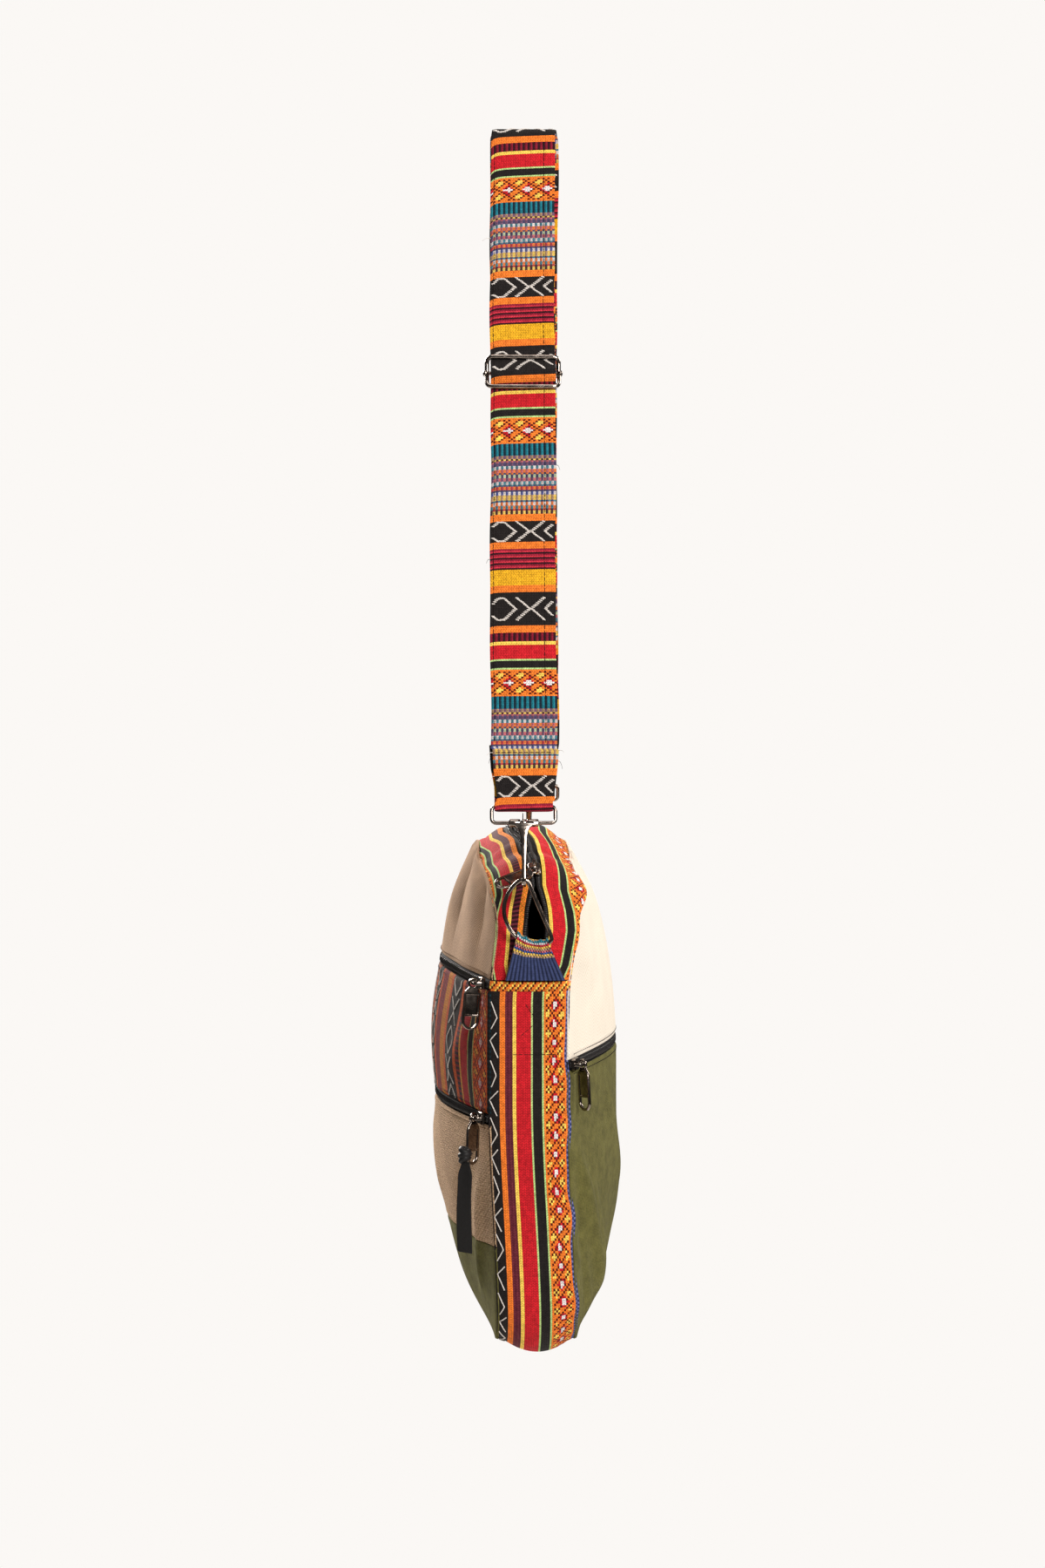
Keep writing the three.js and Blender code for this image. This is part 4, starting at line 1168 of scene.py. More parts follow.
SEAM_LEVEL = level_of(SEAM + PATCH_GAP + 0.1)
HEM_LEVEL = level_of(SEAM - PATCH_GAP)
TOP_PATH = edge_path(SEAM_LEVEL, [2.2, 2.4, 2.6, 2.8], 3)
LOW_PATH = edge_path(HEM_LEVEL, [1, 0.8, 0.6, 0.4, 0.2], 0)
BAG_MIDDLE = np.array([0, 0, -560.0])


# Stripes of the gusset from its front edge to its back edge, in whole picks
GUSSET_STRIPES = in_picks([
    ("black", 6),
    ("orange", 3),
    (lines(["wine", "plum"], PICK), 4),
    ("yellow", 2),
    ("red", 8),
    ("lime", 1),
    ("black", 5),
    ("lime", 1),
    (lattice(10.7, 3.0), 12),
    (twist("slate", "navy"), 4),
])


def hem_colours(cells, p, q):
    """The turned hem at each end shows slanted orange, yellow and dark yarns."""
    end = p.max()
    turned_in = np.minimum(p, end - p) < HEM["height"] + 0.8
    kind = (np.floor(q / PICK) + np.floor(2 * p / RIB) + np.floor(q / 7.4)) % 4
    kind = kind[..., None]
    mixed = np.select([kind < 2, kind < 3], [INK["orange"], INK["yellow"]], INK["umber"])
    cells[..., :3] = np.where(turned_in[..., None], mixed, cells[..., :3])
    return cells


def gusset_point(s, y, extra=0.0):
    u, level, length = LOW_PATH
    half = HALF_GUSSET - JOINT
    from_end = np.minimum(s, length[-1] - s)
    edge = half - np.abs(y)
    hem = HEM["stand"] * (1 - (y / half) ** 4) * smooth((HEM["height"] + 0.9 - from_end) / 1.5)
    hem = hem * (0.55 + 0.45 * np.sin(np.clip(from_end / HEM["height"], 0, 1) * math.pi) ** 0.5)
    waves = 0.45 * np.sin(s / 19 + 0.7 * np.sin(y / 9)) * smooth(edge / 8)
    out = hem + waves + seam_roll(edge + 0.2, 1.4, 2.4) + extra
    gathered = 0.8 * np.sin(s / 9.5 + 0.9 * np.sin(s / 23)) + 0.3 * np.sin(s / 4.1)
    y = y + gathered * smooth((y - 6) / 14) * smooth((from_end - HEM["height"]) / 30)
    return strip_point(np.interp(s, length, u), np.interp(s, length, level), y, 0.0, out)


# Arrow heads of white yarn on the gusset's front stripe: place along and across of their corners
ARROW_REPEAT = 33.5
ARROW_START = 29.6
ARROW_HEADS = [[(0, 5.0), (4.8, 1.1), (14.0, 5.0)], [(15.5, 1.1), (24.5, 4.8), (31.0, 1.3)]]


def arrow_heads():
    length, half = LOW_PATH[2][-1], HALF_GUSSET - JOINT
    shapes = []
    for start in np.arange(ARROW_START - ARROW_REPEAT, length, ARROW_REPEAT):
        for corners in ARROW_HEADS:
            line = fine_line(corners + rng.uniform(-0.5, 0.5, (len(corners), 2))) + (start, -half)
            ends = line[:, 0].min(), line[:, 0].max()
            if ends[0] > HEM["height"] + 2 and ends[1] < length - HEM["height"] - 2:
                shapes.append(tube(gusset_point(line[:, 0], line[:, 1], 0.12), YARN, 6))
    piece("gusset_yarn", joined(shapes), WHITE_YARN, "woven_cotton", sharp=80)


def gusset():
    length = LOW_PATH[2]
    half = HALF_GUSSET - JOINT
    s, y = np.meshgrid(length, steps(-half, half, PICK), indexing="ij")
    points = gusset_point(s, y)
    hint = points - BAG_MIDDLE
    q = y + half
    obj = woven("gusset_cloth", points, PANEL_THICK, s, q, GUSSET_STRIPES, hint, False, hem_colours)
    cloth(obj, "woven_cotton", "gusset", 2 * HALF_GUSSET, length[-1], "lining")


# Half the opening of the main zip, the tape that shows beside it and its middle, by height on the near end
MOUTH = [(-494, 1.2), (-485, 4.2), (-466, 5.2), (-454, 3.8), (-447, 1.8), (-442, 0.3)]
TAPE_SHOWS = [(-494, 2.4), (-454, 2.5), (-429, 3.8), (-421, 4.7)]
MOUTH_SIDE = [(-464, -0.4), (-434, 0)]


def zip_lines(u, level):
    z = edge_at(level)[1]
    near = u >= 0.999
    middle = np.where(near, table(MOUTH_SIDE, z), -5.0 * smooth((1 - np.abs(u)) / 0.6))
    half_open = np.where(near, table(MOUTH, z), 0.25)
    return middle, half_open, table(TAPE_SHOWS, z)


# The top strips: width laid flat, and stripes from the zip outwards, in whole picks
STRIP_WIDTH = 18
STRIP_STRIPES = {
    -1: [(twist("orange", "gold"), 3), (dashes("wine", "dark"), 4),
         ("yellow", 2), ("red", 6), ("lime", 1),
         ("black", 3), ("lime", 1), (lattice(10.7, 0.0), 10)],
    1: [("yellow", 2), ("red", 7), ("lime", 1),
        ("black", 4), ("lime", 1), (lattice(10.7, 0.0), 14)],
}


# Where the back strip's edge puffs out over its seam by the near end: height, reach and how far
PUFF = [(-446, 8.5, 4.2), (-468, 9.0, 1.6)]


def puffed(points, part):
    """A soft roll of the strip's outer edge, out over the panel."""
    out = np.zeros(part.shape)
    for height, reach, stand in PUFF:
        out = out + stand * ridge(points[..., 2] - height, reach)
    out = out * smooth((points[..., 0] - 62) / 38) * smooth((part - 0.45) / 0.45)
    roll = np.sin(np.clip((part - 0.45) / 0.55, 0, 1) * math.pi)
    return np.stack([0.45 * out * roll, out, 0.2 * out * roll], -1)


def top_strip(name, side):
    u, level, length = TOP_PATH
    middle, half_open, shows = zip_lines(u, level)
    inside = (middle + side * (half_open + shows))[:, None]
    outside = side * (HALF_GUSSET - JOINT)
    s, part = np.meshgrid(length, np.linspace(0, 1, 60), indexing="ij")

    def laid(part):
        y = inside + (outside - inside) * part
        from_zip, from_seam = np.abs(y - inside), np.abs(outside - y)
        waves = 0.5 * np.sin(s[:, :1] / 15 + y / 7) * smooth(from_seam / 8)
        out = waves + seam_roll(from_seam + 0.2, 1.4, 2.4) - 0.5 * ridge(from_zip, 0.9)
        points = strip_point(u[:, None], level[:, None], y, 0.0, out)
        if side > 0:
            points = points + puffed(points, part)
        return points

    legs = np.diff(laid(part), axis=1, prepend=laid(part[:, :1]))
    walk = np.cumsum(np.linalg.norm(legs, axis=2), axis=1)
    columns = np.arange(int(walk[:, -1].max() / PICK) + 2) * PICK
    squeezed = walk[:, -1:] - 0.02 * np.arange(len(columns))[::-1]
    q = np.minimum(columns, squeezed)
    fitted = np.stack([np.interp(row, line, part[0]) for row, line in zip(q, walk)])
    points = laid(fitted)
    s = np.broadcast_to(length[:, None], q.shape)
    stripes = in_picks(STRIP_STRIPES[side])
    obj = woven(name + "_cloth", points, STRIP_THICK, s, q, stripes, points - BAG_MIDDLE, False)
    cloth(obj, "woven_cotton", name, STRIP_WIDTH, length[-1], "main_zip_front")


gusset()
arrow_heads()
top_strip("top_strip_front", -1)
top_strip("top_strip_back", 1)


# Zips
TOOTH = {"pitch": 1.35, "radius": 0.5, "half": 1.75, "lean": 0.35, "main": 2.4}
TAPE_HALF = 5.2
# How far the main tapes lie below the strips, and places across one, closer together by its teeth
MAIN_TAPE = 2.4
TAPE_STEPS = [0.3, 0.9, 1.6, 2.2, 2.7, 3.3, 4.4, 5.6, 6.8, 8.2, 9.5, 10.7]


def panel_zip(name, side, z):
    """Tape between two patches, with a coil of teeth along its middle; the rows of stitches on its hems are made with
    the other surface stitches.
    """
    level = np.linspace(level_of(z - TAPE_HALF), level_of(z + TAPE_HALF), 15)
    u = steps(-1, 1, 3.0 / HALF_LENGTH)
    level, u = np.meshgrid(level, u, indexing="ij")
    x = HALF_LENGTH * u
    edge = (1 - np.abs(u)) * HALF_LENGTH + 0.4
    from_middle = np.abs(edge_at(level)[1] - z)
    tucked = smooth((from_middle - ZIP_HALF + 0.9) / 1.0)
    out = -1.0 + 0.35 * smooth((2.6 - from_middle) / 0.6) - 1.6 * tucked + seam_roll(edge, 1.0)
    points = panel_point(side, u, level, 0.0, out)
    uv = np.stack([x, edge_at(level)[1]], -1)
    tape = cloth_mesh(name + "_tape", points, 0.9, uv, TAPE, np.array([0, side, 0]))
    cloth(tape, "black_tape", name, 2 * HALF_LENGTH, 2 * TAPE_HALF, "lining")
    places = np.arange(-0.985, 0.985, TOOTH["pitch"] / HALF_LENGTH)
    lean = TOOTH["lean"] / HALF_LENGTH
    ends = []
    for way in (-1, 1):
        where_up = np.full_like(places, level_of(z + way * TOOTH["half"]))
        ends.append(panel_point(side, places + lean * way, where_up, 0.0, -0.25))
    ride(capsules(name + "_teeth", *ends, TOOTH["radius"], TEETH), "black_tape")


def main_zip(name, side):
    """Tape and teeth of one side of the main zip, round the top of the bag."""
    u, level, length = TOP_PATH
    middle, half_open, _ = zip_lines(u, level)
    s, into = np.meshgrid(length, TAPE_STEPS, indexing="ij")
    y = middle[:, None] + side * (half_open[:, None] + into)
    rise = 0.5 * smooth((2.9 - into) / 0.7)
    points = strip_point(u[:, None], level[:, None], y, MAIN_TAPE, rise)
    uv = np.stack([s, into], -1)
    tape = cloth_mesh(name + "_tape", points, 0.75, uv, TAPE, points - BAG_MIDDLE)
    cloth(tape, "black_tape", name, 2 * TAPE_HALF, length[-1], "lining")
    places = np.arange(2.0, length[-1] - 2, TOOTH["pitch"])
    tu, tl = np.interp(places, length, u), np.interp(places, length, level)
    tu = np.where(np.abs(tu) > 0.995, np.sign(tu), tu)
    tm, to, _ = zip_lines(tu, tl)
    ends = [strip_point(tu, tl, tm + side * (to + reach), MAIN_TAPE, 1.0) for reach in (0.0, TOOTH["main"])]
    ride(capsules(name + "_teeth", *ends, TOOTH["radius"], TEETH), "black_tape")


panel_zip("front_zip_upper", -1, FRONT["zip_upper"])
panel_zip("front_zip_lower", -1, FRONT["zip_lower"])
panel_zip("back_zip", 1, BACK["zip"])
main_zip("main_zip_front", -1)
main_zip("main_zip_back", 1)
frame["nodes"]["lining"].data.materials.clear()
frame["nodes"]["lining"].data.materials.append(LINING)


# The strap
def on_half(side, along, out):
    x = along * math.sin(LEAN) + out * math.cos(LEAN)
    return side * x, -STRAP["fold"] - along * math.cos(LEAN) + out * math.sin(LEAN)


# How the strap climbs over the slider: how far off it starts, how high it gets and its steepest slope
CLIMB = {"reach": 10, "lift": 3.9, "slope": 0.61}


def slider_run(up):
    part = min(1, abs(up) / CLIMB["reach"])
    return OUTER_RUN + CLIMB["lift"] * (0.5 + 0.5 * math.cos(math.pi * part))


# Length of the sewn flap over the near hook's loop, and how far the far half's top hangs to the back
FOLD_BACK = 33.0
FAR_TOP = 2.7


def strap_path():
    """The strap's middle line from its free tail to its sewn end: x, y, z, width, near outer length or -1."""
    path = []
    bar, wrap, turn_out = RING_BAR["along"], RING_BAR["wrap"], RING_BAR["out"]

    def add(side, along, out, seen=False):
        x, z = on_half(side, along, out)
        y = SHIFT[side] * along / bar + (FAR_TOP * smooth(1 - along / 190) if side < 0 else 0)
        narrow = smooth((along - bar + 28) / 18)
        width = STRAP["width"] + (STRAP["bar_width"] - STRAP["width"]) * narrow
        path.append((x, y, z, width, along if seen else -1.0))

    def over_top(radius, start, end):
        for angle in np.linspace(start, end, 15):
            x, z = radius * math.cos(angle), -STRAP["fold"] + radius * math.sin(angle)
            path.append((x, FAR_TOP * (angle - LEAN) / (math.pi - 2 * LEAN), z, STRAP["width"], -1.0))

    for up, out in ((24, 1.75), (16, 1.75), (9, 1.75), (4.5, 2.5)):
        add(1, SLIDER["along"] - up, out)
    for angle in np.linspace(math.pi, 2 * math.pi, 10):
        add(1, SLIDER["along"] - wrap * math.sin(angle), SLIDER["bar"] + wrap * math.cos(angle))
    for up in (2, 3, 4, 5, 6, 7, 8, 9, 10, 13):
        slope = CLIMB["slope"] * math.sin(math.pi * min(1, up / CLIMB["reach"]))
        add(1, SLIDER["along"] - up, slider_run(up) - STRAP["ply"] * math.hypot(1, slope))
    for along in (100, 50, 3):
        add(1, along, INNER_RUN)
    over_top(INNER_RUN, LEAN, math.pi - LEAN)
    far_run = [3, 60, 130, 200, 270, 340, bar - 28]
    for along in far_run:
        add(-1, along, INNER_RUN)
    add(-1, bar - 16, 2.6)
    for angle in np.linspace(math.pi, 2 * math.pi, 10):
        add(-1, bar - wrap * math.sin(angle), turn_out + wrap * math.cos(angle))
    for along in (bar - 16, *reversed(far_run)):
        add(-1, along, OUTER_RUN)
    over_top(OUTER_RUN, math.pi - LEAN, LEAN)
    for along in (3, 50, 100):
        add(1, along, OUTER_RUN, True)
    for up in (13, *range(10, -11, -1), -13):
        add(1, SLIDER["along"] - up, slider_run(up), True)
    for along in (220, 280, 340, bar - FOLD_BACK - 0.4):
        add(1, along, OUTER_RUN, True)
    add(1, bar - FOLD_BACK, OUTER_RUN + 0.7, True)
    for along in (bar - 22, bar - 8, bar - 3):
        add(1, along, OUTER_RUN + 0.7 * (bar - along) / FOLD_BACK, True)
    for angle in np.linspace(0, -math.pi, 10):
        add(1, bar - wrap * math.sin(angle), turn_out + wrap * math.cos(angle))
    for along, out in ((bar - 12, 2.4), (bar - 22, INNER_RUN - 0.2), (bar - 36, INNER_RUN - 0.2)):
        add(1, along, out)
    return np.array(path)


# How far the bands run down to the left across the strap, by length along the near half
SKEW = [(0, 5.2), (30, 4.9), (100, 3.3), (175, 3.0), (245, 1.4), (320, 1.2), (390, 0.0)]
RINGS_AT = 90.2
RING_CENTRE = 6.2


def strap_rows():
    """Evenly spaced steps along the strap: point, width, length and near outer length."""
    path = strap_path()
    walk = walked(path[:, :3])
    length = steps(0, walk[-1], PICK)
    rows = point_at(length, walk, path[:, :4])
    near = np.where(path[:, 4] > 0)[0]
    start, end = walk[near[0]], walk[near[-1]]
    along = np.where((length >= start) & (length <= end), np.interp(length, walk[near], path[near, 4]), -1)
    return rows[:, :3], rows[:, 3], length, along


STRAP_COLUMNS = 27
DASH = {"half": 1.05, "rise": 0.3, "radius": 0.42}


def strap_dashes(outer, normal, p, q):
    """White yarn of the rings and crosses: a short slanted dash at each step of their lines."""
    raised = outer + normal * 0.05
    line = np.concatenate(ring_and_cross_lines(p[0] + 1.6, p[-1] - 1.6))
    line = line + rng.uniform(-0.12, 0.12, line.shape)
    ends = {-1: [], 1: []}
    for turn in range(math.floor(q[0] / REPEAT_LENGTH), math.ceil(q[-1] / REPEAT_LENGTH)):
        middle = line[:, 1] + turn * REPEAT_LENGTH
        shown = (middle > q[0] + 4) & (middle < q[-1] - 4)
        for way, found in ends.items():
            column = np.interp(line[:, 0] + way * DASH["half"], p, np.arange(len(p)))
            row = np.interp(middle + way * DASH["rise"], q, np.arange(len(q)))
            found.append(on_grid(raised, row, column)[shown])
    starts, stops = (np.concatenate(ends[way]) for way in (-1, 1))
    ride(capsules("strap_yarn", starts, stops, DASH["radius"], WHITE_YARN, 5), "woven_cotton")


def strap():
    centre, width, length, along = strap_rows()
    way = np.gradient(centre, axis=0)
    way[:, 1] = 0
    way = unit(way)
    seen = along >= 0
    first = np.interp(RINGS_AT, along[seen], length[seen])
    skew = np.convolve(np.where(seen, table(SKEW, along), 3.0), np.ones(41) / 41, mode="same")
    across = np.linspace(-1, 1, STRAP_COLUMNS)
    from_left = (across + 1) / 2
    drop = 0.55 * np.exp(-from_left / 0.06) + 0.45 * (1 - from_left) - 0.42
    rows = np.arange(math.ceil(-first / PICK), math.floor((length[-1] - first) / PICK) + 1) * PICK
    rows = np.concatenate([[-first], rows, [length[-1] - first]])
    ends = smooth((rows + first) / 30) * smooth((length[-1] - first - rows) / 30)
    s = rows[:, None] + first + (np.interp(rows + first, length, skew) * ends)[:, None] * drop
    s = np.clip(s, 0, length[-1])
    across = np.tile(across, (len(rows), 1))

    def at(values):
        return np.interp(s, length, values)

    wander = 0.35 * np.sin(s / 27) + 0.25 * np.sin(s / 11 + 1)
    end_flap = at(seen & (along > RING_BAR["along"] - FOLD_BACK))
    y = at(centre[:, 1]) + across * at(width) / 2 + wander * np.abs(across) + 1.1 * (end_flap > 0.5)
    swell = 0.22 * np.sin(s / 23 + 2 * across) + 0.15 * np.sin(s / 9)
    free = seen & (np.abs(along - SLIDER["along"]) > 16) & (along < RING_BAR["along"] - FOLD_BACK - 2)
    thin_edge = 1 - 0.5 * np.abs(across) ** 16
    lift = (STRAP["thick"] / 2 + np.where(at(free) > 0.99, np.maximum(swell, -0.1), 0)) * thin_edge
    normal = np.stack([-at(way[:, 2]), 0 * s, at(way[:, 0])], -1)
    outer = np.stack([at(centre[:, 0]), y, at(centre[:, 2])], -1) + normal * lift[..., None]
    q = np.tile(rows[:, None], (1, STRAP_COLUMNS))
    p = (across + 1) / 2 * STRAP["width"] - RING_CENTRE
    obj = woven("strap_cloth", outer, STRAP["thick"] * thin_edge, p, q, REPEAT, normal)
    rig.sheet(obj, flat=(STRAP["width"] * MM, float(length[-1]) * MM), held="hung", rests_on=["strap_slider"])
    ride(obj, "woven_cotton", "strap")
    strap_dashes(outer, normal, p[0], rows)
    middle = STRAP_COLUMNS // 2
    return outer, normal[:, middle], np.where(at(seen)[:, middle] > 0.99, at(along)[:, middle], -1)


STRAP_FACE, STRAP_NORMAL, STRAP_ALONG = strap()


# Stitches and loose threads
def stitch_line(points, normals, length=2.7, gap=0.5, lift=0.08):
    """Starts and ends of stitches along a line of points."""
    walk = walked(points)
    starts = np.arange(0.3, walk[-1] - length, length + gap)
    return [point_at(starts + d, walk, points + normals * lift) for d in (0, length)]


def stitches(name, rows, radius, material, slot):
    """Stitches along lines of points, each with the way out of the cloth."""
    ends = [stitch_line(line, np.broadcast_to(out, line.shape)) for line, out in rows]
    ride(capsules(name, *(np.concatenate(side) for side in zip(*ends)), radius, material), slot)


# Rows of stitches along the strap, by distance from its left edge
STITCHES_AT = (2.0, 31.5)


def strap_stitches():
    flap = RING_BAR["along"] - FOLD_BACK
    seen = np.where((STRAP_ALONG > 1) & (STRAP_ALONG < flap - 1))[0]
    rows = []
    for from_left in STITCHES_AT:
        part = from_left / STRAP["width"] * (STRAP_COLUMNS - 1)
        low = int(part)
        line = STRAP_FACE[seen, low] * (1 - part + low) + STRAP_FACE[seen, low + 1] * (part - low)
        rows.append((line, STRAP_NORMAL[seen]))
    sewn = int(np.argmin(np.abs(STRAP_ALONG - (flap + 2.5))))
    rows.append((STRAP_FACE[sewn, 1:-1], STRAP_NORMAL[sewn]))
    stitches("strap_stitches", rows, 0.22, THREAD, "woven_cotton")


strap_stitches()


# Loose thread ends: place along the strap, column of its face, colour, run out, across and down
LOOSE = [
    (379, 0, "white", 1.2, -3.6, 2.0), (381, 0, "black", 0.8, -2.4, 4.2), (392, 0, "white", 1.0, -2.6, 3.4),
    (378, 26, "white", 1.0, 3.0, 1.6), (384, 26, "black", 1.4, 2.4, 4.6), (398, 26, "white", 0.9, 2.2, 3.0),
    (62, 0, "white", 1.6, -5.2, 2.2), (207, 26, "black", 0.8, 2.0, 3.0), (262, 0, "black", 1.0, -2.0, 2.6),
]


def loose_threads():
    shapes = {"white": [], "black": []}
    t = np.linspace(0, 1, 12)[:, None]
    for along, column, colour, out, across, down in LOOSE:
        row = int(np.argmin(np.abs(STRAP_ALONG - along)))
        start, normal = STRAP_FACE[row, column], STRAP_NORMAL[row]
        bend = np.sin(t * 2.4) * normal * out + t**0.8 * np.array([0, across, 0])
        bend = bend - t**2 * np.array([0, 0, down])
        shapes[colour].append(tube(start + bend, np.linspace(0.16, 0.08, len(t)), 5))
    piece("loose_white_threads", joined(shapes["white"]), WHITE_YARN, "woven_cotton", sharp=80)
    piece("loose_black_threads", joined(shapes["black"]), THREAD, "woven_cotton", sharp=80)


loose_threads()


# Hardware: X out from the bag, Y across and Z up, in the frame of the piece that carries it
def strap_frame(along, out):
    x, z = on_half(1, along, out)
    way_out = (math.cos(LEAN), 0, math.sin(LEAN))
    up = (-math.sin(LEAN), 0, math.cos(LEAN))
    return axes(way_out, (0, 1, 0), up, (x, SHIFT[1] * along / RING_BAR["along"], z))


# The far end carries the same hardware, turned half round
ENDS = {"near": np.eye(4), "far": shifted(0, SHIFT[1] + SHIFT[-1], 0) @ turned("Z", 180)}


def metal(node, part, shape, body="bag"):
    return piece(node + part, shape, METAL, "gunmetal", node, body=body)


def rounded_loop(half_wide, low, high, corner, bow=lambda z: 0.0):
    """Points of a rectangular wire loop with round corners."""
    middle, half = (low + high) / 2, (high - low) / 2
    sides = [(0.0, half), (-half_wide, 0.0), (0.0, -half), (half_wide, 0.0)]
    points = []
    for turn, (right, up) in enumerate([(1, 1), (-1, 1), (-1, -1), (1, -1)]):
        for angle in (turn + np.linspace(0, 1, 6)) * QUARTER:
            y = right * (half_wide - corner) + corner * math.cos(angle)
            z = up * (half - corner) + corner * math.sin(angle)
            points.append((bow(z), y, middle + z))
        y, z = sides[turn]
        points.append((bow(z), y, middle + z))
    return np.array(points)


def spread(points, step=1.2):
    """Evenly spaced points on a closed line."""
    line = np.concatenate([points, points[:1]])
    walk = walked(line)
    return point_at(np.linspace(0, walk[-1], int(walk[-1] / step), endpoint=False), walk, line)


def flat_bar(line, wide, thick, sides=12):
    """A bar with a rounded section swept along a line in X and Z; it may narrow along its length."""
    line = np.asarray(line, float)
    angle = around(sides, 0.5)
    off, aside = (np.sign(v) * np.abs(v) ** 0.55 / 2 for v in (np.cos(angle), np.sin(angle)))
    verts = []
    for (x, z), (wx, wz), w in zip(line, unit(np.gradient(line, axis=0)), np.broadcast_to(wide, len(line))):
        verts.append(np.stack([x - wz * off * thick, aside * w, z + wx * off * thick], -1))
    return np.concatenate(verts), turned_over(ring_faces(len(line), sides))


HOOK = {"stem_in": 1.6, "stem_out": 3.0, "bowl_x": -1.6, "bowl_z": -32.3, "bowl": 3.2, "tip": -23.5}
HOOK.update(width=2.2, head=17.0, slot=3.8)
# Half widths of the hook below its head, by height
HOOK_SWELL = [(5.2, -2.1), (3.7, -3.2), (2.6, -5.4), (1.9, -9), (1.65, -16), (1.4, -22), (1.1, -26)]
HOOK_AT = strap_frame(RING_BAR["along"] + LOOP_HEIGHT, RING_BAR["out"])
SIDE_ON = axes((0, 1, 0), (0, 0, 1), (1, 0, 0))
EDGE_ON = axes((1, 0, 0), (0, 0, 1), (0, -1, 0))


def sleeve(low, high, outer=2.2, inner=1.35, sides=24):
    """A rolled sleeve round a wire along Y, with rounded ends."""
    end = [(0, inner), (0, outer - 0.4), (0.15, outer - 0.12), (0.4, outer)]
    profile = [(low + y, r) for y, r in end] + [(high - y, r) for y, r in reversed(end)]
    verts = [(r * math.cos(a), y, r * math.sin(a)) for y, r in profile for a in around(sides)]
    return np.array(verts), turned_over(ring_faces(len(profile), sides, True))


def hook_body():
    thick = HOOK["stem_out"] - HOOK["stem_in"]
    middle = HOOK["stem_in"] + thick / 2
    half_slot, half_head = HOOK["slot"] / 2, HOOK["head"] / 2
    swell = [(half_head, -0.4), (half_head, -1.7), *HOOK_SWELL]
    outline = [(-y, z) for y, z in swell] + [(y, z) for y, z in reversed(swell)]
    face = moved(plate(outline[::-1], [], thick, 0.6), shifted(middle, 0, 0) @ SIDE_ON)
    bend = HOOK["bowl"] + thick / 2
    arc = ring_line(HOOK["bowl_x"], HOOK["bowl_z"], bend, 0, -math.pi, 18)
    line = [(middle, -22), (middle, -27), *arc, (HOOK["bowl_x"] - bend, HOOK["tip"])]
    bowl = flat_bar(line, HOOK["width"], thick)
    rolls = [sleeve(half_slot, half_head), sleeve(-half_head, -half_slot)]
    return moved(joined([face, bowl, *rolls]), HOOK_AT)


def hook_gate():
    eye = sleeve(-1.5, 1.5)
    blade = flat_bar([(-1.9, -1.2), (-2.6, -8), (-3.85, -21.5), (-3.97, -25.1)], [2.0, 2.0, 2.0, 1.6], 0.9)
    tail = flat_bar([(0, 1.8), (0, 4), (0, 5.8)], [1.3, 1.3, 1.0], 1.2)
    return moved(joined([eye, blade, tail]), HOOK_AT)


def d_ring_line():
    upper = [(0, 15.5), (-1.3, 18.9), (-5.6, 19.3), (-11.8, 16.4), (-16.9, 11.4), (-19.9, 4.4)]
    corners = upper + [(back, -up) for back, up in reversed(upper)] + [(0, -5), (0, 5)]
    c, s = math.cos(RING["tilt"]), math.sin(RING["tilt"])
    return loop_curve([(RING["x"], RING["y"] + b * c - u * s, RING["z"] + b * s + u * c) for b, u in corners])


RING_LINE = d_ring_line()


def strap_slider():
    def bow(z):
        return SLIDER["plane"] - (SLIDER["plane"] - SLIDER["bar"]) * (1 - (z / SLIDER["half_tall"]) ** 2)

    wire = spread(rounded_loop(SLIDER["half_wide"], -SLIDER["half_tall"], SLIDER["half_tall"], 3.0, bow))
    end = SLIDER["half_wide"] + 2.3
    bar = tube([(SLIDER["bar"], y, 0) for y in np.linspace(-end + 2, end - 2, 12)], 1.1, 12)
    knobs = []
    for side in (-1, 1):
        line = [(SLIDER["bar"], side * y, 0) for y in np.linspace(end - 3.2, end, 8)]
        knobs.append(tube(line, [1.2, 1.5, 1.7, 1.85, 1.95, 1.9, 1.6, 0.9], 14))
    return moved(joined([tube(wire, SLIDER["wire"], 12, True), bar, *knobs]), strap_frame(SLIDER["along"], 0))


for end, turn in ENDS.items():
    loop = tube(spread(rounded_loop(LOOP_HALF, 0, LOOP_HEIGHT, 2.4)), RING_BAR["wire"], 12, True)
    metal("hook_loop_" + end, "_wire", moved(moved(loop, HOOK_AT), turn))
    metal("hook_" + end, "_body", moved(hook_body(), turn))
    metal("hook_gate_" + end, "_blade", moved(hook_gate(), turn), body="hook_gate_" + end)
    metal("d_ring_" + end, "_wire", moved(tube(RING_LINE, RING["wire"], 12, True), turn))
metal("strap_slider", "_wire", strap_slider())


# Zip sliders and pulls, built with X out from the cloth, Y along the zip and Z up
ZIP = {"base": 2.3, "crown": 5.9, "crown_half": 4.3, "crown_thick": 1.6, "crown_corner": 1.4}
ZIP.update(pull=30.0, pull_half=5.2, pull_thick=1.6, rim=1.6, window=-19.0)
# Half of the outline of a slider's body
WAIST = [(-5, -2.6), (-3.4, -3.6), (0, -3.4), (3.2, -3.7), (5, -3.0)]


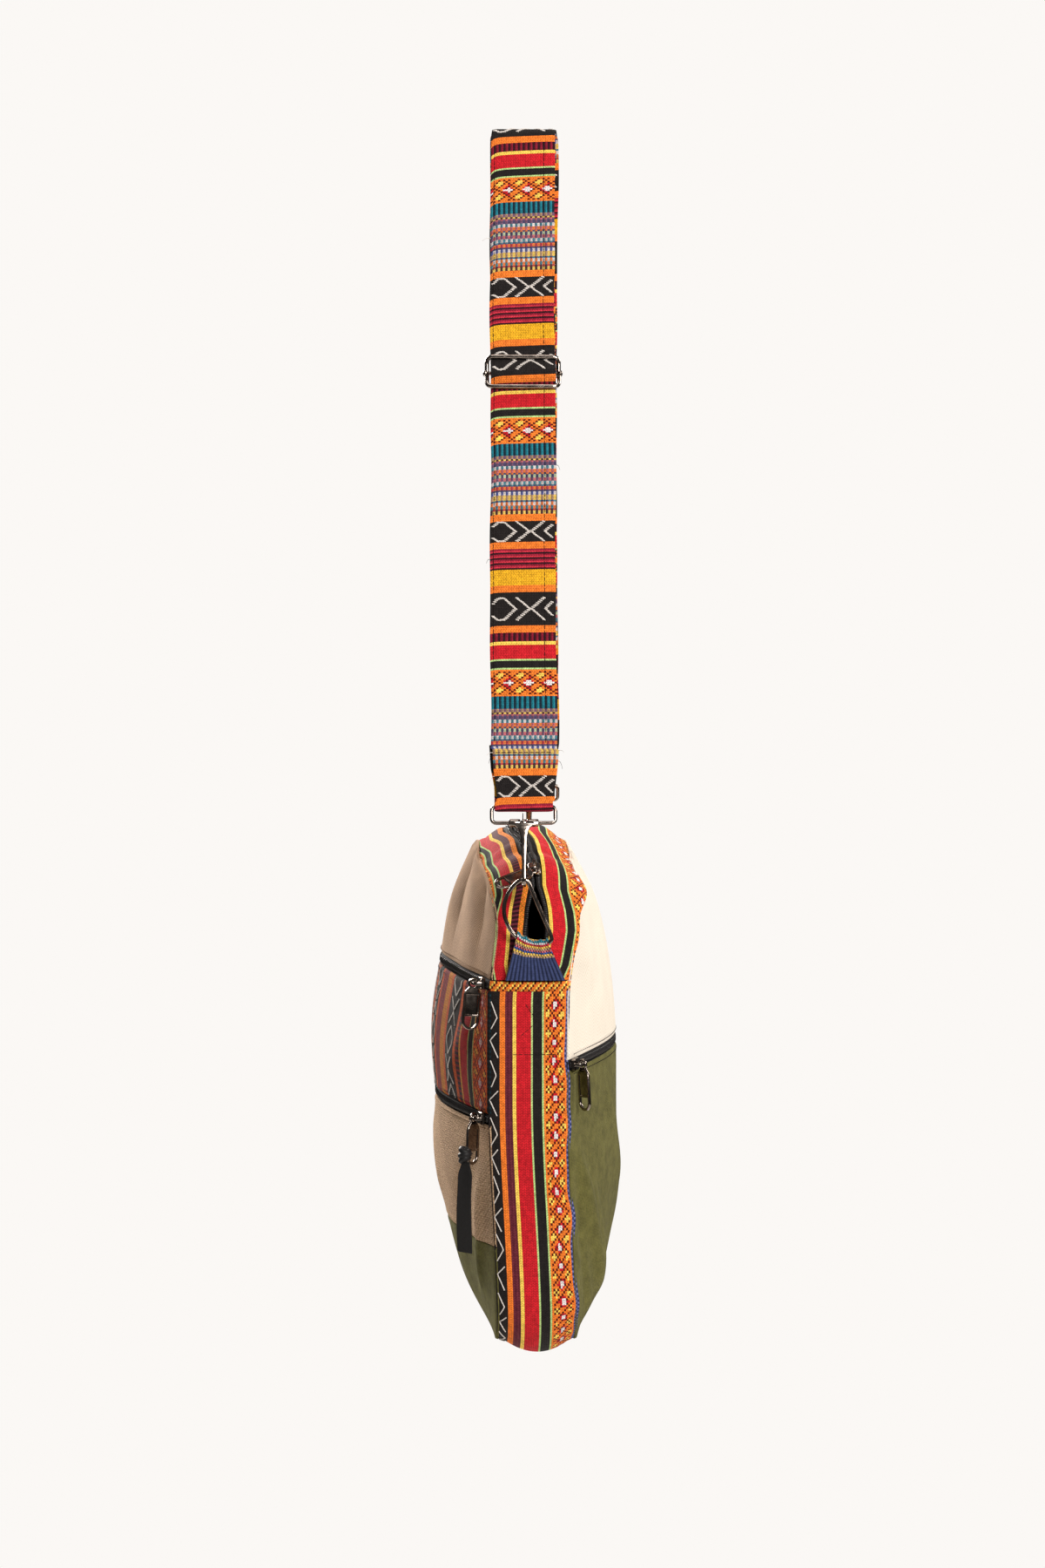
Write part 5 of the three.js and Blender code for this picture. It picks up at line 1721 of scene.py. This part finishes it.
def zip_slider():
    """A waisted body with side flanges, and the crown that carries the pull."""
    waist = WAIST + [(y, -z) for y, z in reversed(WAIST)]
    thick = ZIP["base"] - 0.35
    body = moved(plate(waist, [], thick, 0.45), shifted(0.35 + thick / 2, 0, 0) @ SIDE_ON)
    mid, corner = ZIP["crown_thick"] / 2, ZIP["crown_corner"]
    top, foot = ZIP["crown"] + mid, mid - ZIP["crown_half"]
    arch = [(1.2, foot), (top - 2.2, foot)]
    for a in np.linspace(0.2, QUARTER, 6):
        arch.append((top - mid - corner + corner * math.sin(a), foot + corner - corner * math.cos(a)))
    arch += [(x, -y) for x, y in reversed(arch)]
    crown = moved(flat_bar(arch, 1.9, 1.5), axes((1, 0, 0), (0, 0, -1), (0, 1, 0)))
    return joined([body, crown])


def zip_pull():
    """A rim bent round an eye at the top, a recessed plate and an open loop at the foot."""
    half, foot, window = ZIP["pull_half"], -ZIP["pull"] + 3.2, ZIP["window"]
    outline = ring_line(0, 0, 3.2, -0.72, math.pi + 0.72, 18)
    outline += [(-4.4, -4.4), (-half, -6.5)]
    outline += [(-half * math.cos(a), foot + half - half * math.sin(a)) for a in np.linspace(0, math.pi, 16)]
    outline += [(half, -6.5), (4.4, -4.4)]
    eye = ring_line(0, 0, 1.95)[::-1]
    inner = half - ZIP["rim"]
    loop = ring_line(0, foot + half, inner, math.pi, 2 * math.pi, 16) + [(inner, window), (-inner, window)]
    field = [(-inner, window + 1.2), (inner, window + 1.2), (inner, -6.6), (-inner, -6.6)]
    rim = plate(outline, [eye, loop[::-1], field[::-1]], ZIP["pull_thick"], 0.45)
    web = plate([(x * 1.15, y + math.copysign(0.5, y + 12)) for x, y in field], [], 0.7, 0.15)
    return moved(joined([rim, web]), EDGE_ON)


def zip_frame(side, z, u, stand):
    level = level_of(z)
    at, ahead = panel_point(side, u, level), panel_point(side, u + 0.02, level)
    along = np.array([ahead[0] - at[0], ahead[1] - at[1], 0])
    along /= np.linalg.norm(along)
    out = -side * np.cross(along, (0, 0, 1))
    return axes(out, np.cross((0, 0, 1), out), (0, 0, 1), at + out * stand)


# Pocket zips: side, height, place along, stand-off, twist and tilt of the pull in degrees, body of the pull
POCKETS = {
    "front_zip_upper": (-1, FRONT["zip_upper"], 0.925, 0.5, 0, 5, "front_zip_upper_pull"),
    "front_zip_lower": (-1, FRONT["zip_lower"], 0.93, 0.0, 30, 2, "bag"),
    "back_zip": (1, BACK["zip"], 0.95, 0.0, -36, 3, "back_zip_pull"),
}


def hung(name):
    side, z, u, stand, twist, tilt, _ = POCKETS[name]
    crown = zip_frame(side, z, u, stand) @ shifted(ZIP["crown"], 0, 0)
    return crown @ turned("Y", -tilt) @ turned("Z", twist)


for name, (*where_on, _, _, body) in POCKETS.items():
    metal(name + "_slider", "_body", moved(zip_slider(), zip_frame(*where_on)))
    metal(name + "_pull", "_plate", moved(zip_pull(), hung(name)), body=body)


MAIN_SLIDER = {"z": -434.5, "inset": 1.55, "pull_turn": 55, "pull_tip": 4, "pull_at": (3.85, -0.3, -3.85)}


def main_zip_frame():
    level = level_of(MAIN_SLIDER["z"])
    at, ahead = (strip_point(1.0, l, 0.0, MAIN_SLIDER["inset"]) for l in (level, level + 0.02))
    up = np.array([ahead[0] - at[0], 0, ahead[2] - at[2]])
    up /= np.linalg.norm(up)
    return axes(np.cross((0, 1, 0), up), (0, 1, 0), up, at)


MAIN_FRAME = main_zip_frame()
metal("main_zip_slider", "_body", moved(zip_slider(), MAIN_FRAME @ turned("X", 90)))
lying = MAIN_FRAME @ shifted(*MAIN_SLIDER["pull_at"]) @ turned("Y", -MAIN_SLIDER["pull_tip"])
lying = lying @ turned("X", -MAIN_SLIDER["pull_turn"]) @ turned("Z", 90)
metal("main_zip_pull", "_plate", moved(zip_pull(), lying))


# The ribbon looped round one side of the lower front pull, knotted beside it
RIBBON = {"over_foot": 7.0, "loop_x": 4.9, "loop": (3.1, 2.3), "wire": 0.75, "knot_x": 10.2}
RIBBON.update(tail_x=9.4, toward_near=3.0, drop=4.0, length=52.0, half=5.0, thick=0.45)
RIBBON_TAILS = {"ribbon_tail_front": (0.6, 0.5), "ribbon_tail_back": (-1.8, -0.5)}
# Turns of the knot: height over its middle, width and tilt
KNOT_TURNS = [(0.0, 1.0, 14), (2.3, 0.88, -24), (-2.4, 0.9, 32)]


def ribbon():
    pull = hung("front_zip_lower")
    at = pull @ shifted(0, RIBBON["toward_near"], 0)
    height = -ZIP["pull"] + 3.2 + RIBBON["over_foot"]
    t, part = np.meshgrid(np.linspace(0, 1, 40), np.linspace(-1, 1, 11), indexing="ij")
    half, length = RIBBON["half"], RIBBON["length"]
    for name, (lean, sideways) in RIBBON_TAILS.items():
        curl = 0.35 * part**2 * np.sin(5 * t + sideways)
        x = RIBBON["tail_x"] + lean * t + 1.1 * np.sin(4 * t + sideways) * t + curl
        y = part * half * (0.55 + 0.45 * smooth(t * 6)) + sideways * 2.2 * t
        points = np.stack([x, y, height - RIBBON["drop"] - length * t], -1) @ at[:3, :3].T + at[:3, 3]
        uv = np.stack([part * half, length * t], -1)
        tail = cloth_mesh(name, points, RIBBON["thick"], uv, SATIN, at[:3, 0])
        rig.sheet(tail, flat=(2 * half * MM, length * MM), held="hung", rests_on=["front_zip_lower_pull"])
        ride(tail, "black_tape", *(["ribbon"] if lean > 0 else []))
    around = np.linspace(0, 2 * math.pi, 40, endpoint=False)
    shapes = []
    for lift, squeeze, tip in KNOT_TURNS:
        ring = np.stack([2.1 * squeeze * np.cos(around), 2.5 * squeeze * np.sin(around), 0 * around], -1)
        ring = ring @ turned("X", tip)[:3, :3].T + np.array([RIBBON["knot_x"], 0, height + lift])
        shapes.append(tube(ring, 1.75, 12, True))
    half_x, half_y = RIBBON["loop"]
    loop = [RIBBON["loop_x"] + half_x * np.cos(around), half_y * np.sin(around), height + 0 * around]
    looped = tube(np.stack(loop, -1), RIBBON["wire"], 10, True)
    knot = joined([moved(joined(shapes), at), moved(looped, pull)])
    piece("ribbon_knot", knot, SATIN, "black_tape", sharp=80)


ribbon()


# The tabs that hold the D-rings
def low_wire(y):
    """Height of the ring's lowest wire at places across the tab."""
    line = np.concatenate([RING_LINE, RING_LINE[:1]])
    heights = []
    for value in np.atleast_1d(y):
        a, b = line[:-1], line[1:]
        hit = (a[:, 1] - value) * (b[:, 1] - value) <= 0
        t = (value - a[hit, 1]) / np.where(b[hit, 1] == a[hit, 1], 1, b[hit, 1] - a[hit, 1])
        heights.append(np.min(a[hit, 2] + t * (b[hit, 2] - a[hit, 2])))
    return np.array(heights)


# Bands of a tab from its foot up: ribs, then single rows of dashes
TAB_ROWS = ["beige", "yellow", "blue", "pink", "beige", "yellow", "rose", "white"]
TAB_ROWS += ["teal", "beige", "yellow", "orange", "beige", "teal", "beige"]
TAB_BANDS = [(ribs("ink_blue"), 13 * PICK)]
TAB_BANDS += [(specks(name, k), PICK) for k, name in enumerate(TAB_ROWS)]
TAB_BANDS += [(flat("beige"), 40.0)]
TAB_COLUMNS = 85
TAB_RIBS = 14
# Width of a tab laid flat, and the share of its rectangle left by the taper
TAB_WIDTH = 34
TAB_SHARE = 0.78


def tab(name, turn):
    part = np.linspace(0, 1, TAB_COLUMNS)
    round_wire = RING["wire"] + 0.4 + TAB["thick"] / 2
    top, base = (low + (high - low) * part for low, high in (TAB["top"], TAB["base"]))
    wire = low_wire(top)
    slope = low_wire(top + 0.5) - low_wire(top - 0.5)
    wire = wire + (RING["wire"] + 0.4) * (np.hypot(1, np.minimum(1, slope)) - 1)
    front_x, back_x, foot = RING["x"] + round_wire, RING["x"] - round_wire, TAB["foot"]
    rows = []
    for t in np.linspace(0, 1, 26)[:-1]:
        rows.append((TAB["front"] + (front_x - TAB["front"]) * t, foot + (wire - foot) * t))
    for angle in np.linspace(0, math.pi, 12):
        rows.append((RING["x"] + round_wire * math.cos(angle), wire + round_wire * math.sin(angle)))
    for t in np.linspace(0, 1, 26)[1:]:
        rows.append((back_x + (TAB["back"] - back_x) * t, wire + (foot - wire) * t))
    x = np.array([np.broadcast_to(r[0], part.shape) for r in rows])
    z = np.array([r[1] for r in rows])
    rise = np.clip((z - foot) / (wire - foot), 0, 1)
    y = base * (1 - rise) + top * rise
    line = np.stack([x, y, z], -1)
    normal = grid_normals(line)
    front = np.arange(len(rows)) < 31
    normal = normal * (1 if normal[3, TAB_COLUMNS // 2, 0] > 0 else -1)
    pinch = -1.9 * ridge(part - 0.52, 0.06) + 0.6 * np.cos((part - 0.52) * 26)
    gather = pinch * smooth((rise - 0.25) / 0.5)
    gather = gather + 0.4 * np.abs(np.sin(math.pi * part * TAB_RIBS)) * smooth((0.55 - rise) / 0.2)
    outer = line + normal * (TAB["thick"] / 2 + (gather * front[:, None])[..., None])
    walk = walked(line[:, TAB_COLUMNS // 2])
    s = np.broadcast_to(walk[:, None], y.shape)
    p = np.broadcast_to(part * TAB_RIBS * RIB, y.shape)
    hint = outer - np.array([RING["x"], 3.0, -485.0])
    outer = outer @ turn[:3, :3].T + turn[:3, 3]
    hint = hint @ turn[:3, :3].T
    fine_rows = steps(0, len(rows) - 1, (len(rows) - 1) / (walk[-1] / PICK))

    def finer(grid):
        return point_at(fine_rows, np.arange(len(rows)), grid)

    outer = np.stack([finer(outer[..., k]) for k in range(3)], -1)
    hint = np.stack([finer(hint[..., k]) for k in range(3)], -1)
    obj = woven(name + "_cloth", outer, TAB["thick"], finer(p), finer(s), TAB_BANDS, hint, False)
    flat_size = (TAB_WIDTH * MM, float(walk[-1]) * MM)
    area = TAB_SHARE * TAB_WIDTH * walk[-1] * MM**2
    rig.sheet(obj, flat=flat_size, held="gathered", rests_on=["d_ring_" + name[4:]], area=area)
    ride(obj, "woven_cotton", name)


for end, turn in ENDS.items():
    tab("tab_" + end, turn)


# Stitches on the panels and the gusset
HEM_LINE = 5.6
# The stitching below the near tab: lines from and to places across and up
TAB_BOX = [((-2.3, -507), (4.6, -517)), ((4.6, -517), (-5.3, -526)), ((-9.7, -536), (15.9, -536))]


def surface_stitches():
    def along_panel(side, z):
        u = np.linspace(-0.97, 0.97, 200)
        return panel_point(side, u, np.full_like(u, level_of(z)), 0.0, 0.3), (0.0, side, 0.0)

    upper, lower, back = FRONT["zip_upper"], FRONT["zip_lower"], BACK["zip"]
    hemp = [(-1, upper + HEM_LINE), (-1, lower - HEM_LINE)]
    stitches("hemp_stitches", [along_panel(*hem) for hem in hemp], 0.2, TAN_THREAD, "tan_hemp")
    hems = [(-1, upper - HEM_LINE), (-1, lower + HEM_LINE), (1, back + HEM_LINE), (1, back - HEM_LINE)]
    rows = [along_panel(*hem) for hem in hems]
    for start, end in TAB_BOX:
        y, z = np.linspace(start, end, 60).T
        level = np.array([level_of(v) for v in z])
        rows.append((strip_point(1.0, level, y, 0.0, 0.35), (1.0, 0.0, 0.0)))
    stitches("panel_stitches", rows, 0.2, THREAD, "black_tape")


surface_stitches()


# Stage, light and camera
CAMERA = {"at": (2.125, -0.0683, -0.283), "pitch": 2.83, "yaw": 1.85, "lens": 81.0, "sensor": 36.0}
FLOOR = {"z": -1.6, "radius": 2.3, "colour": (212, 209, 205)}


def stage():
    work = bmesh.new()
    bmesh.ops.create_circle(work, cap_ends=True, segments=96, radius=FLOOR["radius"])
    mesh = bpy.data.meshes.new("floor")
    work.to_mesh(mesh)
    work.free()
    mesh.materials.append(plain_material("pale_floor", FLOOR["colour"], 0.9, 40, 0.015))
    floor = placed("floor", mesh)
    floor.location.z = FLOOR["z"]
    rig.stage(floor)


def area_light(name, at, aim, size, power, colour):
    light = bpy.data.lights.new(name, "AREA")
    light.energy = power
    light.size = size
    light.color = colour
    obj = placed(name, light)
    obj.location = at
    obj.rotation_euler = (Vector(aim) - Vector(at)).to_track_quat("-Z", "Y").to_euler()


# Soft boxes: place, size, power and colour
LIGHTS = {
    "right": ((-0.9, 2.2, 0.9), 1.1, 53, (1.0, 0.955, 0.9)),
    "left": ((-2.75, -1.3, 0.8), 1.2, 215, (1.0, 0.96, 0.91)),
    "front": ((2.2, 0.8, 0.6), 1.0, 64, (1.0, 0.965, 0.92)),
    "top": ((0.2, 0.0, 1.6), 1.0, 12, (1.0, 0.97, 0.93)),
}


LIGHT_AIM = (0, 0, -0.45)
BACKDROP = (251, 248, 245)
# Light from all round: its tones from below and above, and its strength
AMBIENT_TONES = [(0.3, (0.22, 0.2, 0.19)), (0.72, (1.15, 1.1, 1.04))]
AMBIENT = 0.09


def lights():
    for name, (at, size, power, colour) in LIGHTS.items():
        area_light(name, at, LIGHT_AIM, size, power, colour)
    world = bpy.data.worlds.new("studio")
    world.use_nodes = True
    w = Nodes(world.node_tree)
    backdrop = Value(w, w.nodes["Background"].outputs[0])
    w.put(linear(BACKDROP), w.nodes["Background"].inputs["Color"])
    up = w.node("SeparateXYZ", w.node("TexCoord", output="Generated"), output="Z")
    tone = w.node("ValToRGB", w.math("MULTIPLY_ADD", up, 0.5, 0.5))
    for element, (place_up, colour) in zip(tone.socket.node.color_ramp.elements, AMBIENT_TONES):
        element.position = place_up
        element.color = (*colour, 1)
    ambient = w.node("Background", tone, AMBIENT)
    seen = w.node("LightPath", output="Is Camera Ray")
    w.put(w.node("MixShader", seen, ambient, backdrop), w.nodes["World Output"].inputs[0])
    bpy.context.scene.world = world


def camera():
    data = bpy.data.cameras.new("camera")
    data.sensor_fit = "VERTICAL"
    data.sensor_height = CAMERA["sensor"]
    data.lens = CAMERA["lens"]
    obj = placed("camera", data)
    pitch, yaw = math.radians(CAMERA["pitch"]), math.radians(CAMERA["yaw"])
    forward = Vector((-math.cos(pitch) * math.cos(yaw), math.cos(pitch) * math.sin(yaw), -math.sin(pitch)))
    obj.location = CAMERA["at"]
    obj.rotation_euler = forward.to_track_quat("-Z", "Y").to_euler()
    bpy.context.scene.camera = obj


stage()
lights()
camera()
bpy.context.scene.view_settings.view_transform = "Standard"

visual_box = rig.bounds()
with open("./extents.json", "w") as out:
    json.dump({"cad": [list(v) for v in cad_box], "visual": [list(v) for v in visual_box]}, out)
